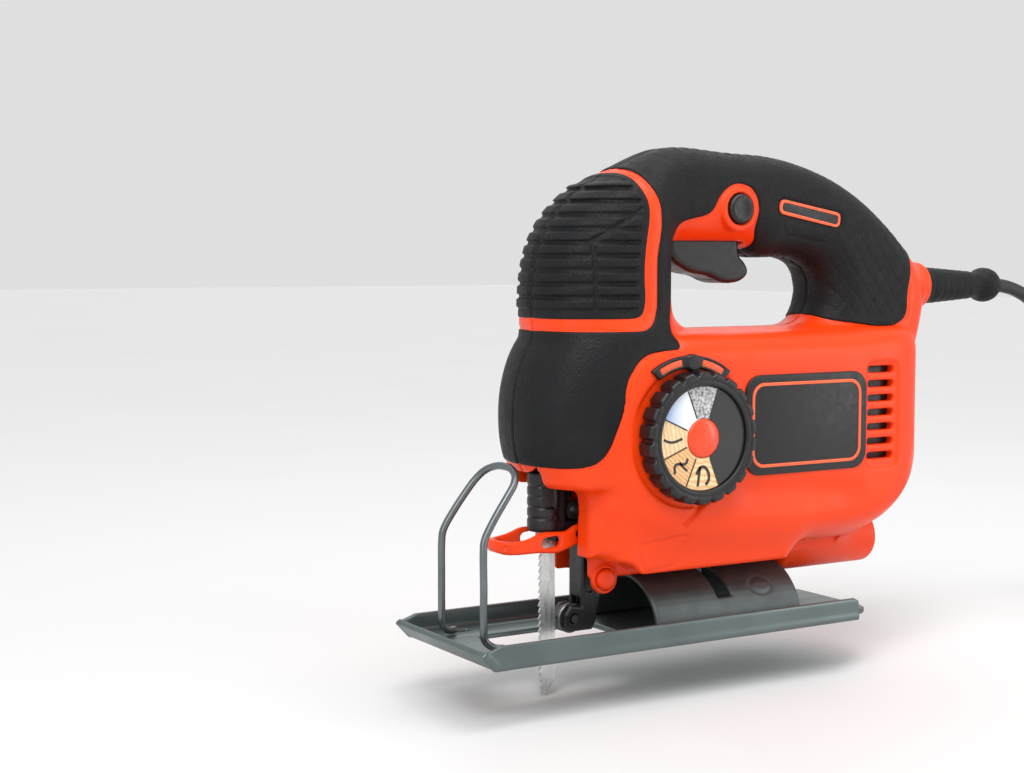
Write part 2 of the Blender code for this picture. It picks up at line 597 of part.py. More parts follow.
gw = boolean(gw, cyl((-36, 0, GEAR_Z + CRANK_R), (-29.7, 0, GEAR_Z + CRANK_R), 3.0, 20))
finish(gw, "drive_gear", "hard_steel", (-30, 0, GEAR_Z), gear_axis)
finish(cyl((-38.6, 0, GEAR_Z + CRANK_R), (-30.0, 0, GEAR_Z + CRANK_R), 2.7, 20), "crank_pin", "hard_steel",
       (-30, 0, GEAR_Z), gear_axis)
for side, tag in ((-1, "left"), (1, "right")):
    y0, y1 = sorted((side * 10.6, side * 27.5))
    h = box(58.5, 67.5, y0, y1, MOTOR_Z - 4.5, MOTOR_Z + 4.5)
    h = boolean(h, box(60.4, 65.6, y0 - 5, y1 + 5, MOTOR_Z - 2.6, MOTOR_Z + 2.6))
    finish(h, "brush_holder_" + tag, "brass")
    y0, y1 = sorted((side * 8.8, side * 20.0))
    finish(box(60.7, 65.3, y0, y1, MOTOR_Z - 2.3, MOTOR_Z + 2.3), "carbon_brush_" + tag, "graphite")
finish(box(98, 124, -14, 14, 62, 80, 1.0, 1), "speed_module", "black_plastic")

# --------------------------------------------------------------- plunger and clamp
plunger_axis = empty("plunger_axis", (ROD_X, 0, 100))
PC = (ROD_X, 0, 100)
finish(cyl((ROD_X, 0, 66.6), (ROD_X, 0, 160), ROD_R, 24), "plunger_rod", "bright_steel", PC, plunger_axis)
YZ = GEAR_Z + CRANK_R
yoke = box(-42.6, -39, -17, 17, YZ - 6.6, YZ + 6.6, 0.8, 1)
yoke = boolean(yoke, box(-52.1, -41, -7.5, 7.5, YZ - 5.8, YZ + 5.8), "UNION")
yoke = boolean(yoke, cyl((ROD_X, 0, YZ - 20), (ROD_X, 0, YZ + 20), ROD_R + GAP, 24))
yoke = boolean(yoke, box(-40.6, -37, -13.5, 13.5, YZ - 3.4, YZ + 3.4))
finish(yoke, "plunger_yoke", "grey_steel", PC, plunger_axis)
for name, z0, z1 in (("bushing_lower", 79.5, 90), ("bushing_upper", 131.2, 139)):
    b = box(-51.8, -40, -9, 9, z0, z1, 0.6, 1)
    b = boolean(b, cyl((ROD_X, 0, z0 - 5), (ROD_X, 0, z1 + 5), ROD_R + GAP, 24))
    finish(b, name, "brass")

clamp = cyl((-52, 0, 48), (-52, 0, 74), 7.0, 28)
clamp = boolean(clamp, box(-50, -36.3, -6, 6, 43.5, 52), "UNION")
clamp = boolean(clamp, box(-51, -44, -6, 6, 50, 70), "UNION")
clamp = boolean(clamp, box(-52, -40.6, -5.6, 5.6, 61.5, 73), "UNION")
clamp = boolean(clamp, box(BLADE_X0 - 0.5, BLADE_X1 + 0.5, -0.95, 0.95, 40, 64))
clamp = boolean(clamp, cyl((ROD_X, 0, 66.2), (ROD_X, 0, 80), ROD_R + GAP, 24))
clamp = boolean(clamp, cyl((LEVER_PX, -20, LEVER_PZ), (LEVER_PX, 20, LEVER_PZ), 1.9, 16))
finish(clamp, "blade_clamp_body", "black_plastic", PC, plunger_axis)
finish(lathe([(2.3, -5.5), (4.0, -5.5), (4.0, 5.5), (2.3, 5.5)], (-39.6, 0, 56.6), (0, 1, 0), 20), "clamp_spring",
       "hard_steel", PC, plunger_axis)
finish(cyl((LEVER_PX, -10.6, LEVER_PZ), (LEVER_PX, 10.6, LEVER_PZ), 1.6, 16), "lever_pin", "hard_steel", PC, plunger_axis)

teeth = []
z = 38.0
while z > -19.5:
    teeth += [(BLADE_X0 + 1.3, z), (BLADE_X0, z - 2.6)]
    z -= 2.9
BL = [(BLADE_X1, BLADE_TOP), (BLADE_X0 + 0.4, BLADE_TOP), (BLADE_X0 + 0.4, 40)] + teeth + \
     [(BLADE_X0 + 1.2, -20.6), (BLADE_X0 + 1.6, BLADE_TIP), (BLADE_X0 + 3.0, BLADE_TIP), (BLADE_X1, -18.0)]
finish(prism(BL, -0.6, 0.6, "Y"), "saw_blade", "bright_steel", PC, plunger_axis)

lever_axis = empty("lever_axis", (LEVER_PX, 0, LEVER_PZ))
lever_axis.parent = plunger_axis
lever_axis.location = Vector(mm(LEVER_PX, 0, LEVER_PZ)) - Vector(mm(*PC))
side_view = [(-35.6, 47), (-36.6, 50.2), (-40, 51.4), (-43.4, 50.2), (-46, 48.4), (-58, 49), (-65, 46.5), (-72, 45.6),
             (-78.6, 46.4), (-78.6, 42.5), (-76, 40.2), (-60, 40.2), (-51, 39.2), (-46, 40.6), (-41, 42.4), (-37, 43.6)]
lever = prism(side_view, -12, 12, "Y")
plan = [(-34, -10.4)] + [(-34, 10.4)] + arc(-68, 0, 10.4, 90, 270, 13)
lever = boolean(lever, prism(plan, 30, 60, "Z"), "INTERSECT")
inner = [(-30, -7.4)] + [(-30, 7.4)] + arc(-67.5, 0, 7.4, 90, 270, 11)
lever = boolean(lever, prism(inner, 30, 60, "Z"))
lever = boolean(lever, cyl((LEVER_PX, -20, LEVER_PZ), (LEVER_PX, 20, LEVER_PZ), 1.9, 16))
slot = arc(-51.5, 44.6, 2.4, -90, 90, 6) + arc(-56.5, 44.2, 2.4, 90, 270, 6)
lever = boolean(lever, prism(slot, -20, 20, "Y"))
finish(lever, "clamp_lever", "orange_abs", (LEVER_PX, 0, LEVER_PZ), lever_axis)

# --------------------------------------------------------------- roller support
arm_axis = empty("arm_axis", (ARM_PIVOT_X, 0, ARM_PIVOT_Z))
AC = (ARM_PIVOT_X, 0, ARM_PIVOT_Z)
arm = prism([(-35.4, 14), (-35.4, 56), (-33.4, 60), (-29.6, 60), (-27.6, 56), (-27.6, 8), (-30, 3.4),
             (-41, 3.4), (-44, 6), (-44, 11), (-41, 15)], -5.6, 5.6, "Y")
arm = boolean(arm, box(-60, -32.4, -3.3, 3.3, -10, 17.5))
arm = boolean(arm, cyl((ROLLER_X, -20, ROLLER_Z), (ROLLER_X, 20, ROLLER_Z), 2.2, 20))
arm = boolean(arm, cyl((ARM_PIVOT_X, -20, ARM_PIVOT_Z), (ARM_PIVOT_X, 20, ARM_PIVOT_Z), 2.3, 20))
finish(arm, "roller_arm", "black_plastic", AC, arm_axis)
finish(cyl((ARM_PIVOT_X, -12.2, ARM_PIVOT_Z), (ARM_PIVOT_X, 12.2, ARM_PIVOT_Z), 2.0, 20), "arm_pivot_pin", "hard_steel")
finish(cyl((ROLLER_X, -6.2, ROLLER_Z), (ROLLER_X, 6.2, ROLLER_Z), 1.9, 20), "roller_pin", "hard_steel", AC, arm_axis)
roller_axis = empty("roller_axis", (ROLLER_X, 0, ROLLER_Z))
roller_axis.parent = arm_axis
roller_axis.location = Vector(mm(ROLLER_X, 0, ROLLER_Z)) - Vector(mm(*AC))
rl = lathe([(2.2, -3), (6.6, -3), (6.6, -1.6), (6.1, -1.0), (6.1, 1.0), (6.6, 1.6), (6.6, 3), (2.2, 3)],
           (ROLLER_X, 0, ROLLER_Z), (0, 1, 0), 20)
finish(rl, "guide_roller", "hard_steel", (ROLLER_X, 0, ROLLER_Z), roller_axis)

# ------------------------------------------------------------------------ the shoe
shoe_axis = empty("shoe_axis", (0, 0, 0))
sole = box(-97.5, PLATE_REAR, -PLATE_HALF, PLATE_HALF, 0, PLATE_T)
sole = boolean(sole, prism([(-98, 0), (-92, 0), (-92, 2.5), (-96.6, 2.5), (-102.4, 8.2), (-104.2, 6.4)],
                           -PLATE_HALF, PLATE_HALF, "Y"), "UNION")
for s in (-1, 1):
    y0, y1 = sorted((s * (PLATE_HALF - 2.5), s * PLATE_HALF))
    sole = boolean(sole, prism([(-98, 0), (95, 0), (95, 10), (-97, 10), (-104.2, 6.4)], y0, y1, "Y"), "UNION")
tongue = [(90, -31)] + arc(99, -19, 12, -90, 0, 5) + arc(99, 19, 12, 0, 90, 5) + [(90, 31)]
sole = boolean(sole, prism(tongue, 0, PLATE_T, "Z"), "UNION")
hole = arc(-26, 8, 6, 0, 90, 4) + arc(-72, 8, 6, 90, 180, 4) + arc(-72, -8, 6, 180, 270, 4) + arc(-26, -8, 6, 270, 360, 4)
sole = boolean(sole, prism(hole, -5, 8, "Z"))
for s in (-1, 1):
    y0, y1 = sorted((s * 24, s * 28))
    sole = boolean(sole, box(-86, -74, y0, y1, -5, 8))
finish(sole, "shoe_plate", "grey_steel", (0, 0, 0), shoe_axis)

A = [(31, 2.8), (31, 5.3)] + arc(0, 0, ARCH_R, 12, 168, 15) + [(-31, 5.3), (-31, 2.8)] + \
    arc(0, 0, ARCH_R - ARCH_T, 173.2, 6.8, 15)
arch = prism(A, ARCH_X0, ARCH_X1, "X")
arch = boolean(arch, box(26, 34, -21, 21, 9, 40))
finish(arch, "shoe_arch", "grey_steel", (0, 0, 0), shoe_axis)
half_wire = [(-84, -21, 4.5), (-88, -19.5, 5.0), (-91.5, -18.2, 8), (-92, -18, 14), (-92, -18, 30), (-92, -17.8, 44),
             (-91, -17.4, 50), (-86, -16.8, 58), (-80, -16.2, 66), (-76, -15.2, 71), (-73.4, -12, 74.5), (-71.8, -6, 76.6)]
wire = half_wire + [(-71.5, 0, 77)] + [(x, -y, z) for x, y, z in reversed(half_wire)]
finish(tube(wire, 1.6, 2), "wire_guard", "bright_steel", (0, 0, 0), shoe_axis)
scr = lathe([(0, 15.5), (4.5, 15.5), (4.5, 19), (2.4, 19), (2.4, 45), (0, 45)], (30, 0, 0), (0, 0, 1), 16)
finish(scr, "shoe_screw", "hard_steel")

# ------------------------------------------------------------------------ the cord
sr = [(0, 144), (9, 144), (9, 147.2), (7.0, 147.2), (7.0, 164.4), (9.2, 164.4), (9.0, 168), (6.6, 199), (6.3, 203),
      (8.2, 206), (8.6, 209.5), (8.2, 213), (6.2, 216), (5.0, 217), (3.7, 217), (3.7, 211), (0, 211)]
finish(lathe(sr, (0, 0, CORD_Z), (1, 0, 0), 16), "strain_relief", "black_tpe")
ROUTE = [(211.4, 0, 151.5), (222, 0, 151.2), (232, 0, 149.0), (246, 0, 142.5), (259, -1, 129), (268, -3, 109),
         (274, -7, 84), (279, -13, 56), (284, -21, 28), (291, -31, 5), (301, -43, -11), (314, -53, -18),
         (330, -57.3, -20.7), (352, -57.5, -20.9)]
lead = catmull(ROUTE, 26)
finish(tube(lead, CORD_R, 2), "cord_lead", "cord_rubber")
cx, cy = COIL_C
R, H = COIL_RING, COIL_HALF
ring = [(R - H + 3, 0), (R + H - 3, 0), (R + H, 3), (R + H, 2 * H - 3), (R + H - 3, 2 * H), (R - H + 3, 2 * H),
        (R - H, 2 * H - 3), (R - H, 3)]
finish(lathe(ring, (cx, cy, BENCH_Z), (0, 0, 1), 28), "cord_coil", "cord_rubber")
top = BENCH_Z + 2 * H
PLUG_Z = top + 9.0
pl = prism([(-22, -5), (-6, -16), (14, -17), (16, -14), (16, 14), (14, 17), (-6, 16), (-22, 5)], -8, 8, "Z", 2.0, 1, 40)
pl = boolean(pl, cyl((-34, 0, 0), (-20, 0, 0), 4.6, 16, 6.5), "UNION")
pl = boolean(pl, cyl((-42, 0, 0), (-28, 0, 0), CORD_R + GAP, 16))
PX, PY = cx + 26, cy - 19.2
pl.data.transform(Matrix.Translation(mm(PX, PY, PLUG_Z)))
finish(pl, "plug_body", "black_plastic", (PX, PY, PLUG_Z))
for s, tag in ((-1, "a"), (1, "b")):
    p = cyl((PX + 16.3, PY + s * 9.3, PLUG_Z), (PX + 35, PY + s * 9.3, PLUG_Z), 2.3, 14)
    finish(p, "plug_pin_" + tag, "brass")
tail = []
for i in range(11):
    t = i / 10
    a = math.radians(135 + 135 * t)
    rise = t * t * (3 - 2 * t)
    tail.append((cx - 7.8 + 27 * math.cos(a), cy + 7.8 + 27 * math.sin(a), top + CORD_R + 0.4 + rise * (PLUG_Z - top - CORD_R - 0.4)))
tail.append((PX - 28.8, PY, PLUG_Z))
finish(tube(tail, CORD_R, 2), "cord_tail", "cord_rubber")
for o in list(scene.collection.objects):
    bpy.data.objects.remove(o, do_unlink=True)
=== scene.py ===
import json
import math

import bmesh
import bpy
import numpy as np
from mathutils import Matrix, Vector


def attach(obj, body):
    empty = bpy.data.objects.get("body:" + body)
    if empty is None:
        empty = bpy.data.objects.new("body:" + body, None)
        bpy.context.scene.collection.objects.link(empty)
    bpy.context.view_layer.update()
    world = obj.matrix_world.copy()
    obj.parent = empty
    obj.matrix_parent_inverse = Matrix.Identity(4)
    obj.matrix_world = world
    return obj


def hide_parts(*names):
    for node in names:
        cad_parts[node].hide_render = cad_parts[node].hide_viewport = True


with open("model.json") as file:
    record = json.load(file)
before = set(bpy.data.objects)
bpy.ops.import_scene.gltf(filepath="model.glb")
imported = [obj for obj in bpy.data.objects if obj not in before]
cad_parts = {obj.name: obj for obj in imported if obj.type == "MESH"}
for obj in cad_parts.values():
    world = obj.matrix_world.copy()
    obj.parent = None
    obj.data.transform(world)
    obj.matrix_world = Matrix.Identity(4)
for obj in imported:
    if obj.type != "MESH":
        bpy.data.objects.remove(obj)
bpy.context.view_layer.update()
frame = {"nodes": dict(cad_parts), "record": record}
NODES = frame["nodes"]
f4 = np.float32

# ---------------------------------------------------------------- sizes in mm
BODY_W, NOSE_LOW, NOSE_TOP, HANDLE_W = 36.0, 32.0, 29.0, 20.0
DX, DZ, DR = 0.0, 89.0, 27.5
LX, LZ, LR = 37.0, 186.5, 6.6
BX, BZ, BR = -30.0, 27.0, 4.6
CORD_R, CORD_Z, BENCH = 3.4, 151.5, -24.3
CX, CY = 352.0, -5.0

B0 = [(-62, 72), (-67, 86), (-67, 108), (-60, 128), (-46, 140), (-5, 140), (-5, 72)]
B1 = [(-40, 64), (-36, 122), (-10, 132), (85, 132), (132, 134), (152, 120), (151, 90), (141, 67), (121, 46),
      (104, 40), (40, 39), (-16, 44)]
B2 = [(-42, 68), (-43, 38), (104, 38), (114, 46), (106, 66)]
NT = [(-58, 128), (-58, 152), (-55, 169), (-47, 183), (-33, 195), (-17, 204), (-6, 204), (-2, 192), (-2, 128)]
HA = [(-12, 120), (-12, 198), (-3, 210), (12, 214), (40, 211.5), (64, 211), (84, 207), (102, 201), (119, 192),
      (135, 180), (148, 168), (157, 158), (159, 146), (155, 128), (150, 112), (20, 112)]
FG = [(3, 171), (3, 159), (6, 144), (17, 133), (82, 133), (91, 139), (95, 150), (91, 161), (77, 166),
      (56, 165), (50, 171)]
SOFT = [(-80, 77), (-53, 77), (-45, 79), (-39, 85), (-34, 98), (-30, 111), (-28, 118), (-25, 122), (-19, 125),
        (-6, 125), (-3, 128), (-4, 136), (-2, 146), (-1, 158), (1, 166), (4, 178), (9, 181), (20, 183), (24, 186),
        (27, 192), (31, 195.5), (36, 197.5), (43, 196.5), (47, 192.5), (48.5, 187), (47.5, 178), (51, 173),
        (52, 168), (56, 156), (78, 156), (83, 144), (91, 137), (97, 135.5), (118, 133), (133, 133.5), (139, 138),
        (139, 150), (144, 166), (160, 184), (120, 225), (-20, 225), (-23, 207), (-18, 205), (-13, 198), (-10, 188),
        (-11, 175), (-13, 166), (-13, 141), (-19, 134.5), (-80, 134.5)]
PAD = [(-80, 139), (-21, 139), (-18, 145), (-19, 159), (-18, 171), (-15, 187), (-17, 196), (-20, 202), (-26, 206),
       (-28, 225), (-80, 225)]
TRG = [(46.7, 174.7), (46.7, 166), (50, 163.6), (52.4, 160), (52, 157), (48, 154.2), (41, 153.3),
       (35, 154.6), (30, 157), (20, 158.3), (10.5, 163), (7.3, 168), (7.3, 174.7)]
ROUTE = [(211.4, 0, 151.5), (222, 0, 151.2), (232, 0, 149.0), (246, 0, 142.5), (259, -1, 129), (268, -3, 109),
         (274, -7, 84), (279, -13, 56), (284, -21, 28), (291, -31, 5), (301, -43, -11), (314, -53, -18),
         (330, -57.3, -20.7), (352, -57.5, -20.9)]


def rounded(P, r, n=6):
    """Replace every corner of a closed outline by a short curve."""
    out, m = [], len(P)
    for i in range(m):
        p, c, q = np.array(P[i - 1], float), np.array(P[i], float), np.array(P[(i + 1) % m], float)
        a, b = p - c, q - c
        la, lb = np.linalg.norm(a), np.linalg.norm(b)
        s, e = c + a / la * min(r, 0.48 * la), c + b / lb * min(r, 0.48 * lb)
        for k in range(n + 1):
            t = k / n
            out.append(tuple((1 - t) ** 2 * s + 2 * t * (1 - t) * c + t * t * e))
    return out


def arc(cx, cz, r, a0, a1, n):
    return [(cx + r * math.cos(math.radians(a0 + (a1 - a0) * k / n)),
             cz + r * math.sin(math.radians(a0 + (a1 - a0) * k / n))) for k in range(n + 1)]


def rrect(x0, x1, z0, z1, r, n=6):
    return (arc(x1 - r, z1 - r, r, 0, 90, n) + arc(x0 + r, z1 - r, r, 90, 180, n) +
            arc(x0 + r, z0 + r, r, 180, 270, n) + arc(x1 - r, z0 + r, r, 270, 360, n))


def catmull(P, n):
    """A smooth curve through the points, evenly spaced along its length."""
    P = [np.array(p, float) for p in P]
    P = [2 * P[0] - P[1]] + P + [2 * P[-1] - P[-2]]
    fine = []
    for i in range(1, len(P) - 2):
        for k in range(40):
            t = k / 40
            a, b, c, d = P[i - 1], P[i], P[i + 1], P[i + 2]
            fine.append(0.5 * (2 * b + (c - a) * t + (2 * a - 5 * b + 4 * c - d) * t * t +
                               (3 * b - 3 * c + d - a) * t ** 3))
    fine.append(P[-2])
    fine = np.array(fine)
    s = np.r_[0, np.cumsum(np.linalg.norm(np.diff(fine, axis=0), axis=1))]
    u = np.linspace(0, s[-1], n)
    return np.stack([np.interp(u, s, fine[:, k]) for k in range(3)], 1)


# ------------------------------------------------ distance fields on a voxel grid
def sdf2(P, U, V):
    P = np.array(P, f4)
    U, V = U.astype(f4), V.astype(f4)
    d = np.full(U.shape, 1e9, f4)
    ins = np.zeros(U.shape, bool)
    for i in range(len(P)):
        au, av = P[i]
        bu, bv = P[(i + 1) % len(P)]
        eu, ev = bu - au, bv - av
        L = eu * eu + ev * ev
        if L < 1e-9:
            continue
        wu, wv = U - au, V - av
        t = np.clip((wu * eu + wv * ev) / L, 0, 1)
        d = np.minimum(d, (wu - eu * t) ** 2 + (wv - ev * t) ** 2)
        if abs(ev) > 1e-9:
            c = ((V >= av) & (V < bv)) | ((V >= bv) & (V < av))
            ins ^= c & (U < au + wv * eu / ev)
    d = np.sqrt(d)
    d[ins] *= -1
    return d


def rnd(a, b, r):
    a, b = a + f4(r), b + f4(r)
    return np.minimum(np.maximum(a, b), 0) + np.hypot(np.maximum(a, 0), np.maximum(b, 0)) - f4(r)


def smin(a, b, k):
    h = np.maximum(k - np.abs(a - b), 0) / k
    return np.minimum(a, b) - h * h * f4(k / 4)


def smax(a, b, k):
    return -smin(-a, -b, k)


class Grid:
    def __init__(self, lo, hi, h):
        self.h, self.lo = h, np.array(lo, float)
        self.c = [np.arange(lo[i], hi[i] + h, h).astype(f4) for i in range(3)]
        self.X, self.Y, self.Z = self.c[0][:, None, None], self.c[1][None, :, None], self.c[2][None, None, :]

    def flat(self, P, axis="Y"):
        x, y, z = self.c
        if axis == "Y":
            return sdf2(P, *np.meshgrid(x, z, indexing="ij"))[:, None, :]
        if axis == "X":
            return sdf2(P, *np.meshgrid(y, z, indexing="ij"))[None, :, :]
        return sdf2(P, *np.meshgrid(x, y, indexing="ij"))[:, :, None]

    def ext(self, P, a, b, r=0.4, axis="Y"):
        v = {"X": self.X, "Y": self.Y, "Z": self.Z}[axis]
        d = self.flat(P, axis) if isinstance(P, list) else P
        return rnd(d, np.abs(v - (a + b) / 2) - (b - a) / 2, r)

    def cyl(self, axis, c, rad, a, b, r=0.4):
        u, v, w = {"X": (self.Y, self.Z, self.X), "Y": (self.X, self.Z, self.Y), "Z": (self.X, self.Y, self.Z)}[axis]
        return rnd(np.hypot(u - c[0], v - c[1]) - rad, np.abs(w - (a + b) / 2) - (b - a) / 2, r)

    def box(self, x0, x1, y0, y1, z0, z1, r=0.4):
        a = np.abs(self.X - (x0 + x1) / 2) - (x1 - x0) / 2 + r
        b = np.abs(self.Y - (y0 + y1) / 2) - (y1 - y0) / 2 + r
        c = np.abs(self.Z - (z0 + z1) / 2) - (z1 - z0) / 2 + r
        out = np.sqrt(np.maximum(a, 0) ** 2 + np.maximum(b, 0) ** 2 + np.maximum(c, 0) ** 2)
        return (np.minimum(np.maximum(np.maximum(a, b), c), 0) + out - f4(r)).astype(f4)


def sample(F, g, p):
    q = (p - g.lo) / g.h
    q = np.clip(q, 0, np.array(F.shape) - 1.001)
    i = np.floor(q).astype(int)
    t = q - i
    out = 0
    for a in (0, 1):
        for b in (0, 1):
            for c in (0, 1):
                w = (t[:, 0] if a else 1 - t[:, 0]) * (t[:, 1] if b else 1 - t[:, 1]) * (t[:, 2] if c else 1 - t[:, 2])
                out = out + w * F[i[:, 0] + a, i[:, 1] + b, i[:, 2] + c]
    return out


def gradient(F, g, p, e=0.5):
    out = np.zeros_like(p)
    for k in range(3):
        d = np.zeros(3)
        d[k] = e * g.h
        out[:, k] = sample(F, g, p + d) - sample(F, g, p - d)
    n = np.linalg.norm(out, axis=1, keepdims=True)
    return out / np.maximum(n, 1e-9), n[:, 0] / (2 * e * g.h)


def nets(F, g):
    """Surface nets: one vertex in every cell the surface crosses, pulled on to the surface."""
    F = np.ascontiguousarray(F, f4).copy()
    F[np.abs(F) < 1e-5] = 1e-5
    F[0], F[-1] = np.maximum(F[0], 0.01), np.maximum(F[-1], 0.01)
    F[:, 0], F[:, -1] = np.maximum(F[:, 0], 0.01), np.maximum(F[:, -1], 0.01)
    F[:, :, 0], F[:, :, -1] = np.maximum(F[:, :, 0], 0.01), np.maximum(F[:, :, -1], 0.01)
    s = F < 0
    cnt = np.zeros([n - 1 for n in F.shape], np.uint8)
    cor = [(a, b, c) for a in (0, 1) for b in (0, 1) for c in (0, 1)]
    nx, ny, nz = cnt.shape
    for a, b, c in cor:
        cnt += s[a:a + nx, b:b + ny, c:c + nz]
    cells = np.argwhere((cnt > 0) & (cnt < 8))
    ids = np.full(cnt.shape, -1, np.int32)
    ids[cells[:, 0], cells[:, 1], cells[:, 2]] = np.arange(len(cells))
    acc, num = np.zeros((len(cells), 3)), np.zeros(len(cells))
    val = {k: F[cells[:, 0] + k[0], cells[:, 1] + k[1], cells[:, 2] + k[2]] for k in cor}
    for k in cor:
        for ax in range(3):
            if k[ax]:
                continue
            m = list(k)
            m[ax] = 1
            a, b = val[k], val[tuple(m)]
            hit = (a < 0) != (b < 0)
            t = np.where(hit, a / np.where(hit, a - b, 1), 0)
            p = np.array(k, float)[None] + np.eye(3)[ax][None] * t[:, None]
            acc[hit] += p[hit]
            num[hit] += 1
    v = (cells + acc / num[:, None]) * g.h + g.lo
    home = (cells + 0.5) * g.h + g.lo
    for _ in range(3):
        n, L = gradient(F, g, v, 0.35)
        d = sample(F, g, v)
        v = v - n * np.clip(d / np.maximum(L, 0.4), -0.5 * g.h, 0.5 * g.h)[:, None]
        v = home + np.clip(v - home, -0.72 * g.h, 0.72 * g.h)
    quads = []
    for ax in range(3):
        sl0 = [slice(1, -1)] * 3
        sl1 = [slice(1, -1)] * 3
        sl0[ax], sl1[ax] = slice(0, -1), slice(1, None)
        A, B = s[tuple(sl0)], s[tuple(sl1)]
        e = np.argwhere(A != B)
        up = A[e[:, 0], e[:, 1], e[:, 2]]
        o = np.ones(3, int)
        o[ax] = 0
        e = e + o
        b, c = [(1, 2), (2, 0), (0, 1)][ax]
        q = []
        for db, dc in ((1, 1), (0, 1), (0, 0), (1, 0)):
            w = e.copy()
            w[:, b] -= db
            w[:, c] -= dc
            q.append(ids[w[:, 0], w[:, 1], w[:, 2]])
        q = np.stack(q, 1)
        q = np.where(up[:, None], q, q[:, ::-1])
        quads.append(q)
    q = np.concatenate(quads)
    return v, q[(q >= 0).all(1)], F


def add_mesh(name, verts, faces, mats=None, face_mats=None):
    me = bpy.data.meshes.new(name)
    me.from_pydata([tuple(x) for x in np.asarray(verts, float) * 0.001], [], [tuple(int(i) for i in q) for q in faces])
    me.update()
    ob = bpy.data.objects.new(name, me)
    bpy.context.scene.collection.objects.link(ob)
    for m in (mats or []):
        me.materials.append(m)
    if face_mats is not None:
        me.polygons.foreach_set("material_index", np.array(face_mats, np.int32))
    return ob


def quad_mesh(name, v, q):
    me = bpy.data.meshes.new(name)
    me.vertices.add(len(v))
    me.vertices.foreach_set("co", (v * 0.001).astype(f4).ravel())
    me.loops.add(4 * len(q))
    me.loops.foreach_set("vertex_index", q.astype(np.int32).ravel())
    me.polygons.add(len(q))
    me.polygons.foreach_set("loop_start", np.arange(0, 4 * len(q), 4, dtype=np.int32))
    me.update(calc_edges=True)
    me.validate()
    return me


def from_field(name, F, g, material, body, replaces=(), ratio=1.0):
    """Mesh a distance field, thin it out where it is flat, and give it the field's own normals."""
    v, q, F = nets(F, g)
    me = quad_mesh(name, v, q)
    ob = bpy.data.objects.new(name, me)
    bpy.context.scene.collection.objects.link(ob)
    if ratio < 1.0:
        d = ob.modifiers.new("thin", "DECIMATE")
        d.ratio = ratio
        dg = bpy.context.evaluated_depsgraph_get()
        me2 = bpy.data.meshes.new_from_object(ob.evaluated_get(dg))
        ob.modifiers.clear()
        ob.data = me2
        bpy.data.meshes.remove(me)
        me = me2
        me.name = name
    co = np.zeros(3 * len(me.vertices), f4)
    me.vertices.foreach_get("co", co)
    n, _ = gradient(F, g, co.reshape(-1, 3).astype(float) * 1000.0, 0.8)
    me.polygons.foreach_set("use_smooth", np.ones(len(me.polygons), bool))
    me.normals_split_custom_set_from_vertices(n.tolist())
    me.materials.append(material)
    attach(ob, body)
    if replaces:
        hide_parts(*replaces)
    return ob


def finish_piece(ob, body, replaces=(), bevel=0.0, segs=3, smooth=True, angle=35):
    if bevel:
        b = ob.modifiers.new("bevel", "BEVEL")
        b.width, b.segments, b.limit_method, b.angle_limit = bevel * 0.001, segs, "ANGLE", math.radians(angle)
        dg = bpy.context.evaluated_depsgraph_get()
        me = bpy.data.meshes.new_from_object(ob.evaluated_get(dg))
        ob.modifiers.clear()
        old = ob.data
        ob.data = me
        bpy.data.meshes.remove(old)
    if smooth:
        ob.data.polygons.foreach_set("use_smooth", np.ones(len(ob.data.polygons), bool))
        ob.data.set_sharp_from_angle(angle=math.radians(angle))
    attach(ob, body)
    if replaces:
        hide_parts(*replaces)
    return ob


def prism(name, P, a, b, mats, axis="Y"):
    """An outline pushed through from a to b."""
    P = [tuple(p) for p in P]
    area = sum(P[i - 1][0] * P[i][1] - P[i][0] * P[i - 1][1] for i in range(len(P)))
    if area < 0:
        P = P[::-1]
    n = len(P)
    put = {"Y": lambda u, v, w: (u, w, v), "X": lambda u, v, w: (w, u, v), "Z": lambda u, v, w: (u, v, w)}[axis]
    V = [put(u, v, a) for u, v in P] + [put(u, v, b) for u, v in P]
    F = [list(range(n))[::-1], list(range(n, 2 * n))] + [[i, (i + 1) % n, n + (i + 1) % n, n + i] for i in range(n)]
    ob = add_mesh(name, V, F, mats)
    bm = bmesh.new()
    bm.from_mesh(ob.data)
    bmesh.ops.recalc_face_normals(bm, faces=bm.faces)
    bm.to_mesh(ob.data)
    bm.free()
    return ob


def frame_ring(name, P, Q, a, b, mats, axis="Y"):
    """The band between two outlines with the same number of points."""
    n = len(P)
    put = {"Y": lambda u, v, w: (u, w, v), "X": lambda u, v, w: (w, u, v), "Z": lambda u, v, w: (u, v, w)}[axis]
    V = [put(*p, a) for p in P] + [put(*p, b) for p in P] + [put(*p, a) for p in Q] + [put(*p, b) for p in Q]
    F = []
    for i in range(n):
        j = (i + 1) % n
        F += [[i, j, n + j, n + i], [2 * n + j, 2 * n + i, 3 * n + i, 3 * n + j],
              [i, 2 * n + i, 2 * n + j, j], [n + j, 3 * n + j, 3 * n + i, n + i]]
    ob = add_mesh(name, V, F, mats)
    bm = bmesh.new()
    bm.from_mesh(ob.data)
    bmesh.ops.recalc_face_normals(bm, faces=bm.faces)
    bm.to_mesh(ob.data)
    bm.free()
    return ob


